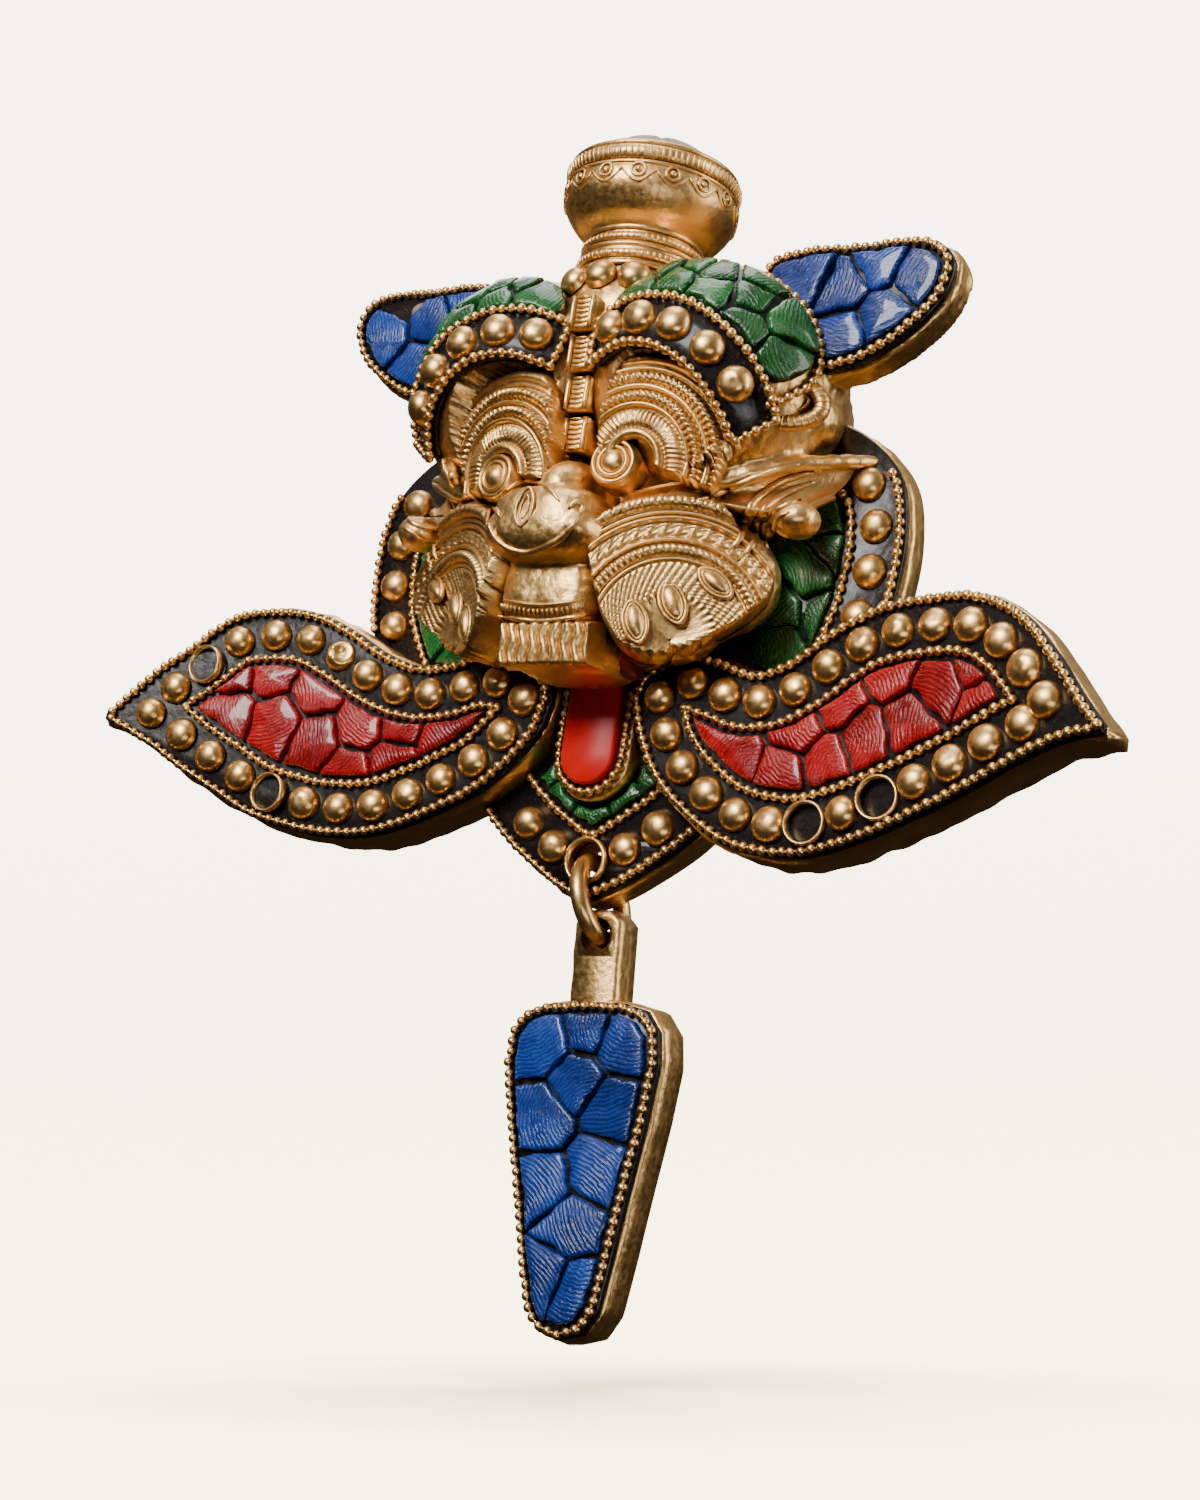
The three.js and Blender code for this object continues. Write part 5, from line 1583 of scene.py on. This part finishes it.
def petal_region(keep, clear):
    outer = petal_line(keep, clear)
    r = TONGUE_W / 2 + TONGUE_RIM + clear

    def side(name, reach):
        bottom = EDGES[name]["bottom"]
        line = [(x, height_at(bottom, x) - clear) for x in np.arange(r + 1, reach - 1, 3)]
        return [p for p in line if p[1] < -9]

    boss = arc(0, TONGUE_BOTTOM + TONGUE_W / 2, r, 360, 180, 12)
    right = side("right", outer[-1][0])[::-1]
    left = [(-x, z) for x, z in side("left", -outer[0][0])]
    return np.array([*outer, *right, *boss, *left])


def band_line(offset, unit):
    path = smooth(BAND, 3)
    along = np.gradient(path, axis=0)
    along /= np.linalg.norm(along, axis=1)[:, None] * unit
    return path + sideways(along) * offset


def ear_outline():
    return smooth(EAR[::-1], 1.5, True)


def plate_lac():
    shells = Shells()
    hole = ellipse(0, HOLE_Z, HOLE_R, HOLE_R, 32)
    bed = inset_exact(round_the_mouth(), BED_IN)
    add_slab(shells, bed, Flat(-PLATE), -0.2, LAC, [hole], edge=0.3, back=False)
    return shells


def leaf_lac(name):
    shells = Shells()
    add_rows(shells, leaf_rows(name, -0.3, LAC, BED_IN, edge=0.3))
    return shells


def ear_lac(side):
    shells = Shells()
    add_slab(shells, inset_exact(ear_outline(), BED_IN), Flat(-EAR_FRONT, side), -0.3, LAC, edge=0.3)
    return shells


def brow_lac(side):
    """The bed of the brow's band, with rounded edges, and the one under the cap."""
    shells = Shells()
    face = Egg(BROW, side)
    wide = (BAND_HALF + 0.3) / face.unit
    path = smooth(BAND, 1.5)
    profile = [(-1, -1.2), (-1, 0.8), (-0.85, LAC), (-0.3, LAC), (0.3, LAC), (0.85, LAC), (1, 0.8), (1, -1.2)]
    rows = []
    for (u, v), (du, dv) in zip(path, units_of(np.gradient(path, axis=0))):
        rows.append([face.at(u - dv * wide * s, v + du * wide * s, h) for s, h in profile])
    add_rows(shells, [row[::side] for row in rows])
    shells.add(*cap_bed(face))
    return shells


def build_lac():
    make_piece("lac_plate", plate_lac(), "lac", "lac_collar_right", "lac_collar_left", "lac_petal")
    for name, side in SIDES.items():
        make_piece(f"lac_on_{name}_leaf", leaf_lac(name), "lac", f"lac_leaf_{name}")
        make_piece(f"lac_on_{name}_ear", ear_lac(side), "lac", f"lac_ear_{name}")
        make_piece(f"lac_on_{name}_brow", brow_lac(side), "lac", f"lac_brow_{name}")


def cap_bed(face):
    """Lac under the cap's chips."""
    line = smooth(CAP, 4, True)
    middle = line.mean(axis=0)
    shares = (1.0, 1.0, 0.8, 0.6, 0.4, 0.2)
    heights = (-1.0, 1.0, 1.3, 1.3, 1.3, 1.3)
    rows = [
        [face.at(*(middle + (p - middle) * share), h) for p in line]
        for share, h in zip(shares, heights)
    ]
    return np.vstack(rows), grid_faces(len(rows), len(line), True)


def chain_piece(name, node, path, face, rng, closed=False, low=ON_LAC):
    shells = Shells()
    chain_on(shells, path, face, closed, low, CHAIN_R, rng)
    make_piece(name, shells, "bead", node)


def build_chains():
    rng = random.Random(bpy.context.scene.hanging_sizes.seed)
    rows = (("outer", OUTER_CHAIN_IN), ("inner", INNER_CHAIN_IN))
    for name, side in SIDES.items():
        brow, ear = Egg(BROW, side), Flat(-EAR_FRONT, side)
        for row, keep in rows:
            line = inset(leaf_outline(name), keep)
            node = f"chain_leaf_{name}_{row}"
            chain_piece(f"{name}_leaf_{row}_chain", node, line, LeafFront(side), rng, True)
        for row, keep in rows:
            line = collar_line(name, keep, 1)
            node = f"chain_collar_{name}_{row}"
            chain_piece(f"{name}_collar_{row}_chain", node, line, Flat(-PLATE, side), rng)
        loop = np.vstack([band_line(-BAND_HALF, brow.unit), band_line(BAND_HALF, brow.unit)[::-1]])
        chain_piece(f"{name}_brow_chain", f"chain_brow_{name}", loop, brow, rng, True)
        cap = smooth(CAP_CHAIN, 3)
        chain_piece(f"{name}_cap_chain", f"chain_cap_{name}", cap, brow, rng, False, 0.4)
        line = inset(ear_outline(), OUTER_CHAIN_IN)
        chain_piece(f"{name}_ear_chain", f"chain_ear_{name}", line, ear, rng, True)
    for row, keep in (("outer", OUTER_CHAIN_IN), ("inner", PETAL_INNER_IN)):
        line = petal_line(keep, 1)
        chain_piece(f"petal_{row}_chain", f"chain_petal_{row}", line, Flat(-PLATE), rng)
    r = TONGUE_W / 2 + 0.3 + CHAIN_R
    bend = arc(0, TONGUE_BOTTOM + TONGUE_W / 2, r, 180, 360, 24)
    path = np.vstack([[(-r, TONGUE_TOP - 4)], bend, [(r, TONGUE_TOP - 4)]])
    chain_piece("tongue_chain", "chain_tongue", path, Flat(-TONGUE_FRONT), rng, False, 0.1)


def bead_row(places, bezels, face, rng, crushed=None):
    sizes = bpy.context.scene.hanging_sizes
    r, high = sizes.bead_radius / MM, sizes.bead_height / MM
    shells = Shells()
    for place in places:
        spot = spot_on(face, place, ON_LAC, rng.uniform(0, 6))
        if any(np.allclose(place, bezel) for bezel in bezels):
            add_cup(shells, spot, 4.4, 0.55, 1.9)
            continue
        p, across, up, out = spot
        lean = unit_of(out + across * rng.uniform(-0.06, 0.06) + up * rng.uniform(-0.06, 0.06))
        dent = rng.choice((0, 0, 0, 0, 0.05, 0.12))
        squeeze = 1.0
        if crushed is not None and np.linalg.norm(np.subtract(place, crushed)) < 4:
            dent, squeeze = 0.75, 0.86
        wide, tall = r * rng.uniform(0.95, 1.03), high * rng.uniform(0.94, 1.05)
        add_dome(shells, (p, across * squeeze, up, lean), wide, tall, dent=dent)
    return shells


def loose_spot(p, turn):
    """A place with its directions, for what lies free of any face."""
    a = math.radians(turn)
    along = np.array([math.cos(a), 0, math.sin(a)])
    out = np.array([0, -1.0, 0])
    return np.array(p, float), along, np.cross(out, along), out


def nearest(places, spot):
    return min(places, key=lambda p: np.linalg.norm(p - np.array(spot)))


def build_beads():
    rng = random.Random(bpy.context.scene.hanging_sizes.seed + 1)
    r = bpy.context.scene.hanging_sizes.bead_radius / MM
    for name, side in SIDES.items():
        leaf = LEAVES[name]
        places = resampled(inset(leaf_outline(name), DOME_IN), leaf["beads"], True)
        bezels = [nearest(places, spot) for spot in leaf["bezels"]]
        crushed = CRUSHED_BEAD if name == "left" else None
        row = bead_row(places, bezels, LeafFront(side), rng, crushed)
        if name == "right":
            add_ball(row, loose_spot(LOOSE_BEAD, LOOSE_TURN), LOOSE_SIZE, unit_ball(20, 12))
        make_piece(f"{name}_leaf_beads", row, "bead", f"beads_leaf_{name}")
        line = collar_line(name, DOME_IN, r + 0.6)
        _, run = run_of(line)
        places = resampled(line, math.floor(run[-1] / (2 * r + 1)))
        row = bead_row(places, [], Flat(-PLATE, side), rng)
        make_piece(f"{name}_collar_beads", row, "bead", f"beads_collar_{name}")
        row = bead_row(as_points(BAND_BEADS), [], Egg(BROW, side), rng)
        make_piece(f"{name}_brow_beads", row, "bead", f"beads_brow_{name}")
    line = petal_line(DOME_IN, r + 0.6)
    first = HOLE_R + 1.1 + r

    def off(p, reach):
        return abs(math.hypot(p[0], p[1] - HOLE_Z) - reach)

    dense = resampled(line, 160)
    places = []
    for side in (1, -1):
        run = [p for p in dense if side * p[0] > 0]
        places += [min(run, key=lambda p: off(p, reach)) for reach in (first, first + 2 * r + 1)]
    row = bead_row(as_points(places), [], Flat(-PLATE), rng)
    add_cup(row, spot_on(Flat(-PLATE), (0, HOLE_Z), ON_LAC - 0.6), HOLE_R + 0.8, 0.8, 2.2)
    make_piece("petal_beads", row, "bead", "beads_petal")
    crown = Shells()
    for place in ((-27, 27), (0, 28), (27, 27)):
        add_dome(crown, spot_on(Egg(CROWN), place, 0.6), 3.5, 2.9)
    make_piece("crown_beads", crown, "bead", "beads_crown")


def build_chips():
    rng = random.Random(bpy.context.scene.hanging_sizes.seed + 2)
    for name, side in SIDES.items():
        leaf = Shells()
        chips_in(leaf, inset(leaf_outline(name), FIELD_IN), LEAVES[name]["chips"], LeafFront(side), rng)
        make_piece(f"{name}_leaf_chips", leaf, "red", f"chips_leaf_{name}")
        collar = Shells()
        region = collar_region(name, INNER_CHAIN_IN + 1.4, 1.2)
        seeds = [p for p in COLLAR_CHIPS if inside(region, p)]
        chips_in(collar, region, seeds, Flat(-PLATE, side), rng)
        make_piece(f"{name}_collar_chips", collar, "green", f"chips_collar_{name}")
        cap = Shells()
        chips_in(cap, smooth(CAP, 4, True)[::-1], CAP_CHIPS, Egg(BROW, side), rng, low=0.9)
        make_piece(f"{name}_cap_chips", cap, "green", f"chips_cap_{name}")
        ear = Shells()
        field = inset(ear_outline(), OUTER_CHAIN_IN + 1.2)
        skip = LOST_CHIP if name == "left" else None
        chips_in(ear, field, EAR_CHIPS[name], Flat(-EAR_FRONT, side), rng, skip)
        make_piece(f"{name}_ear_chips", ear, "blue", f"chips_ear_{name}")
    petal = Shells()
    chips_in(petal, petal_region(PETAL_INNER_IN + 1.4, 1.0), PETAL_CHIPS, Flat(-PLATE), rng)
    make_piece("petal_chips", petal, "green", "chips_petal")
    patch = Shells()
    spot = spot_on(Flat(-EAR_FRONT, -1), (56, 89.5), ON_LAC - 0.2)
    add_ball(patch, spot, (3.0, 2.0, 0.4), unit_ball(24, 10))
    make_piece("lost_chip_patch", patch, "glue")


def build_tongue():
    shells = Shells()
    line = spaced(tongue_outline(-0.1, TONGUE_TOP), 1.0, True)
    add_slab(shells, line, Flat(-TONGUE_FRONT), -0.2, TONGUE_THICK, edge=0.55)
    make_piece("red_tongue", shells, "tongue", "tongue")
    # A dark red lump in the corner of the mouth: painted shade there.
    corner = Shells()
    add_ball(corner, loose_spot(MOUTH_SHADE, 0), MOUTH_SHADE_SIZE, unit_ball(20, 12))
    make_piece("mouth_corner_shade", corner, "corner")


# Ring and pendant


def leaning(points, lean, pivot):
    a = math.radians(lean)
    points = np.array(points, float)
    x = points[:, 0] * math.cos(a) - points[:, 2] * math.sin(a)
    z = points[:, 0] * math.sin(a) + points[:, 2] * math.cos(a)
    return np.column_stack([x, points[:, 1], z]) + pivot


class Hung:
    """A face of the pendant, which hangs at a lean."""

    unit = 1.0

    def __init__(self, y, pivot):
        self.y = y
        self.pivot = pivot

    def at(self, u, v, h):
        return leaning([(u, self.y - h, v)], PENDANT_LEAN, self.pivot)[0]


def build_ring():
    shells = Shells()
    top = HOLE_Z + 0.3
    lean = math.radians(RING_LEAN)
    middle = np.array([RING_R * math.sin(lean), RING_Y, top - RING_R * math.cos(lean)])
    rows = []
    for t in round_turn(96):
        out = np.array([0, math.cos(t), math.sin(t)])
        ring = []
        for k in round_turn(20):
            worn = WIRE_R * (1 + 0.015 * noise.noise(Vector((math.cos(t) * 3, math.sin(t) * 3, k))))
            ring.append(out * (RING_R + worn * math.cos(k)) + np.array([1, 0, 0]) * worn * math.sin(k))
        rows.append(leaning(ring, RING_LEAN, middle))
    add_rows(shells, rows, True, True)
    make_piece("hanging_ring", shells, "bead", "ring")


def build_pendant():
    rng = random.Random(bpy.context.scene.hanging_sizes.seed + 3)
    lean = math.radians(RING_LEAN)
    drop = 2 * RING_R - 0.3
    pivot = np.array([drop * math.sin(lean), RING_Y, HOLE_Z + 0.3 - drop * math.cos(lean)])
    half = [(x, -LUG_LONG - z) for x, z in PENDANT_HALF]
    mirrored = [(-x, z) for x, z in half[1:-1][::-1]]
    outline = spaced([*half, *mirrored][::-1], 1.4, True)
    back = Hung(PENDANT_THICK / 2, pivot)
    face = Hung(-PENDANT_THICK / 2, pivot)
    top, w = LUG_HOLE_R + LUG_TOP, LUG_W / 2
    lug = [
        (-w, -LUG_LONG - w), (w, -LUG_LONG - w), (w, top - LUG_CORNER), (w - LUG_CORNER, top),
        (LUG_CORNER - w, top), (-w, top - LUG_CORNER),
    ]
    body = Shells()
    add_slab(body, outline, back, 0, PENDANT_THICK, edge=0.6, wave=0.5)
    add_slab(body, spaced(lug, 1.2, True), back, 0.2, PENDANT_THICK - 0.2,
             [ellipse(0, 0, LUG_HOLE_R, LUG_HOLE_R, 28)], edge=0.7, wave=0.3)
    make_piece("pendant_body", body, "cast", "pendant_casting")
    bed = Shells()
    add_slab(bed, inset_exact(outline, BED_IN), face, -0.2, LAC, edge=0.3)
    make_piece("lac_on_pendant", bed, "lac", "lac_pendant")
    chain_piece("pendant_chain", "chain_pendant", inset(outline, OUTER_CHAIN_IN), face, rng, True)
    stones = Shells()
    seeds = [(x, z - LUG_LONG) for x, z in PENDANT_CHIPS]
    chips_in(stones, inset(outline, OUTER_CHAIN_IN + 1.3), seeds, face, rng)
    make_piece("pendant_chips", stones, "blue", "chips_pendant")


# Floor, lights and camera


def view_axes():
    a, e, roll = (math.radians(x) for x in (VIEW_AZIMUTH, VIEW_ELEVATION, VIEW_ROLL))
    back = Vector((math.sin(a) * math.cos(e), -math.cos(a) * math.cos(e), math.sin(e)))
    right = Vector((math.cos(a), math.sin(a), 0))
    up = back.cross(right)
    x = right * math.cos(roll) + up * math.sin(roll)
    y = up * math.cos(roll) - right * math.sin(roll)
    return x, y, back


def build_camera():
    x, y, back = view_axes()
    data = bpy.data.cameras.new("camera")
    data.sensor_width = SENSOR
    data.lens = SENSOR * FOCAL / IMAGE[1]
    data.shift_x = (IMAGE[0] / 2 - VIEW_CENTRE[0]) / IMAGE[1]
    data.shift_y = (VIEW_CENTRE[1] - IMAGE[1] / 2) / IMAGE[1]
    data.clip_start = 0.01
    camera = in_scene("camera", data)
    camera.matrix_world = Matrix((x, y, back)).transposed().to_4x4()
    camera.location = Vector(VIEW_AT) * MM
    bpy.context.scene.camera = camera


FLOOR_Z = -152
GLOW = 6.5
WALL_TINT = (1.0, 0.92, 0.78)
SHADE_REACH = 160
DISH = [(0, 0), (900, 0), (1500, 40), (2100, 260), (2600, 800), (2800, 1600), (2850, 2800)]
DISH_SIDES = 96
WORLD_LOW = (0.05, 0.04, 0.03)
WORLD_HIGH = (0.60, 0.56, 0.50)
WORLD_STRENGTH = 0.45


def build_dish(colour):
    """A pale floor that curves up into a wall all round and glows, with the hanging's shadow painted into its
    glow.
    """
    profile = smooth(DISH, 60)
    turns = round_turn(DISH_SIDES)
    rows = [[(r * math.cos(t), r * math.sin(t), z) for t in turns] for r, z in profile[1:]]
    mesh = bpy.data.meshes.new("floor")
    points = np.vstack([*rows, [(0, 0, 0)]])
    faces = grid_faces(len(rows), DISH_SIDES, True)
    faces += [(b, a, tip) for a, b, tip in fan(0, DISH_SIDES, len(rows) * DISH_SIDES)]
    mesh.from_pydata((points * MM).tolist(), [], faces)
    mesh.shade_smooth()
    n = Nodes("backdrop_paper")
    parts = n.node("ShaderNodeSeparateXYZ", Vector=n.place)
    warm = n.ramp(parts.outputs["Z"], [(0.0, colour), (0.9, WALL_TINT)])
    # Painted shadow: where ambient occlusion finds the hanging near, the floor's glow falls to a dim copy of
    # its colour.
    glow_with_painted_shadow = n.mixed(n.greys(n.hollows(16, SHADE_REACH), (0.8, 0), (1.0, 1)), scaled(colour, 0.3), warm)
    n.set(Base_Color=warm, Roughness=0.9, Emission_Color=glow_with_painted_shadow, Emission_Strength=GLOW)
    mesh.materials.append(n.material)
    floor = in_scene("floor", mesh)
    floor.rotation_mode = "QUATERNION"
    azimuth = math.radians(VIEW_AZIMUTH)
    level = Vector((math.cos(azimuth), math.sin(azimuth), 0))
    floor.rotation_quaternion = level.rotation_difference(view_axes()[0])
    floor.location = (0, 0, FLOOR_Z * MM)
    floor.visible_glossy = False
    floor.visible_diffuse = False


def add_light(name, place, size, power, colour=(1, 1, 1)):
    data = bpy.data.lights.new(name, "AREA")
    data.shape = "RECTANGLE"
    data.size, data.size_y = size
    data.energy = power
    data.color = colour
    light = in_scene(name, data)
    light.location = place
    light.rotation_mode = "QUATERNION"
    light.rotation_quaternion = Vector(place).to_track_quat("Z", "Y")


def build_lights(stage):
    x, y, back = view_axes()
    add_light("key", back * 0.75 - x * 0.55 + y * 0.75, (0.5, 0.5), stage.key_power, (1, 0.97, 0.93))
    add_light("side", back * 0.25 + x * 0.95 + y * 0.25, (0.3, 0.9), stage.fill_power, (1, 0.96, 0.9))
    add_light("low", back * 0.8 + x * 0.15 - y * 0.18, (0.5, 0.12), stage.fill_power * 0.25, (1, 0.98, 0.95))
    add_light("top", -back * 0.25 + y * 1.1, (0.9, 0.5), stage.fill_power * 1.2, (1, 1, 1))
    add_light("rear", -back * 1.2 + y * 0.7, (0.8, 0.8), stage.fill_power, (1, 1, 1))


def build_world():
    """Light from all round, darker below."""
    world = bpy.data.worlds.new("studio")
    world.use_nodes = True
    tree = world.node_tree
    place = tree.nodes.new("ShaderNodeTexCoord")
    parts = tree.nodes.new("ShaderNodeSeparateXYZ")
    ramp = tree.nodes.new("ShaderNodeValToRGB")
    tree.links.new(place.outputs["Generated"], parts.inputs["Vector"])
    tree.links.new(parts.outputs["Z"], ramp.inputs["Fac"])
    tree.links.new(ramp.outputs["Color"], tree.nodes["Background"].inputs["Color"])
    low, high = ramp.color_ramp.elements
    low.color = (*WORLD_LOW, 1)
    high.position = 0.9
    high.color = (*WORLD_HIGH, 1)
    tree.nodes["Background"].inputs["Strength"].default_value = WORLD_STRENGTH
    bpy.context.scene.world = world


# Operators and panel


class HANGING_OT_plate(bpy.types.Operator):
    """Build the heart-shaped plate, the leaves and the back"""

    bl_idname = "hanging.plate"
    bl_label = "Plate and leaves"

    def execute(self, context):
        build_plate_and_leaves()
        return {"FINISHED"}


class HANGING_OT_head(bpy.types.Operator):
    """Carve the head"""

    bl_idname = "hanging.head"
    bl_label = "Carved head"

    def execute(self, context):
        build_head()
        return {"FINISHED"}


class HANGING_OT_knob(bpy.types.Operator):
    """Turn the knob on the crown"""

    bl_idname = "hanging.knob"
    bl_label = "Crown knob"

    def execute(self, context):
        build_knob()
        return {"FINISHED"}


class HANGING_OT_lac(bpy.types.Operator):
    """Pour the black lac beds"""

    bl_idname = "hanging.lac"
    bl_label = "Lac"

    def execute(self, context):
        build_lac()
        return {"FINISHED"}


class HANGING_OT_chains(bpy.types.Operator):
    """Lay the bead chains"""

    bl_idname = "hanging.chains"
    bl_label = "Bead chains"

    def execute(self, context):
        build_chains()
        return {"FINISHED"}


class HANGING_OT_beads(bpy.types.Operator):
    """Set the half-round beads and the empty bezels"""

    bl_idname = "hanging.beads"
    bl_label = "Half-round beads"

    def execute(self, context):
        build_beads()
        return {"FINISHED"}


class HANGING_OT_chips(bpy.types.Operator):
    """Set the dyed chips"""

    bl_idname = "hanging.chips"
    bl_label = "Chips"

    def execute(self, context):
        build_chips()
        return {"FINISHED"}


class HANGING_OT_tongue(bpy.types.Operator):
    """Set the red tongue"""

    bl_idname = "hanging.tongue"
    bl_label = "Tongue"

    def execute(self, context):
        build_tongue()
        return {"FINISHED"}


class HANGING_OT_pendant(bpy.types.Operator):
    """Hang the ring and the pendant"""

    bl_idname = "hanging.pendant"
    bl_label = "Ring and pendant"

    def execute(self, context):
        build_ring()
        build_pendant()
        return {"FINISHED"}


class HANGING_OT_stage(bpy.types.Operator):
    """Set up the floor, the lights and the camera"""

    bl_idname = "hanging.stage"
    bl_label = "Stage"

    def execute(self, context):
        stage = context.scene.hanging_stage
        build_dish(tuple(stage.backdrop))
        build_lights(stage)
        build_world()
        build_camera()
        return {"FINISHED"}


STEPS = [
    HANGING_OT_plate, HANGING_OT_head, HANGING_OT_knob, HANGING_OT_lac, HANGING_OT_chains, HANGING_OT_beads,
    HANGING_OT_chips, HANGING_OT_tongue, HANGING_OT_pendant, HANGING_OT_stage,
]


class HANGING_PT_panel(bpy.types.Panel):
    """Sizes, colours and steps of the wall hanging"""

    bl_label = "Wall hanging"
    bl_idname = "HANGING_PT_panel"
    bl_space_type = "VIEW_3D"
    bl_region_type = "UI"
    bl_category = "Hanging"

    def draw(self, context):
        scene = context.scene
        for group in (scene.hanging_sizes, scene.hanging_colours, scene.hanging_stage):
            box = self.layout.box()
            for name in group.__annotations__:
                box.prop(group, name)
        for step in STEPS:
            self.layout.operator(step.bl_idname)


CLASSES = [HangingSizes, HangingColours, HangingStage, *STEPS, HANGING_PT_panel]


def register():
    for cls in CLASSES:
        bpy.utils.register_class(cls)
    bpy.types.Scene.hanging_sizes = PointerProperty(type=HangingSizes)
    bpy.types.Scene.hanging_colours = PointerProperty(type=HangingColours)
    bpy.types.Scene.hanging_stage = PointerProperty(type=HangingStage)


def unregister():
    del bpy.types.Scene.hanging_stage
    del bpy.types.Scene.hanging_colours
    del bpy.types.Scene.hanging_sizes
    for cls in reversed(CLASSES):
        bpy.utils.unregister_class(cls)


def main():
    register()
    for step in STEPS:
        getattr(bpy.ops.hanging, step.bl_idname.split(".")[1])()


if __name__ == "__main__":
    main()
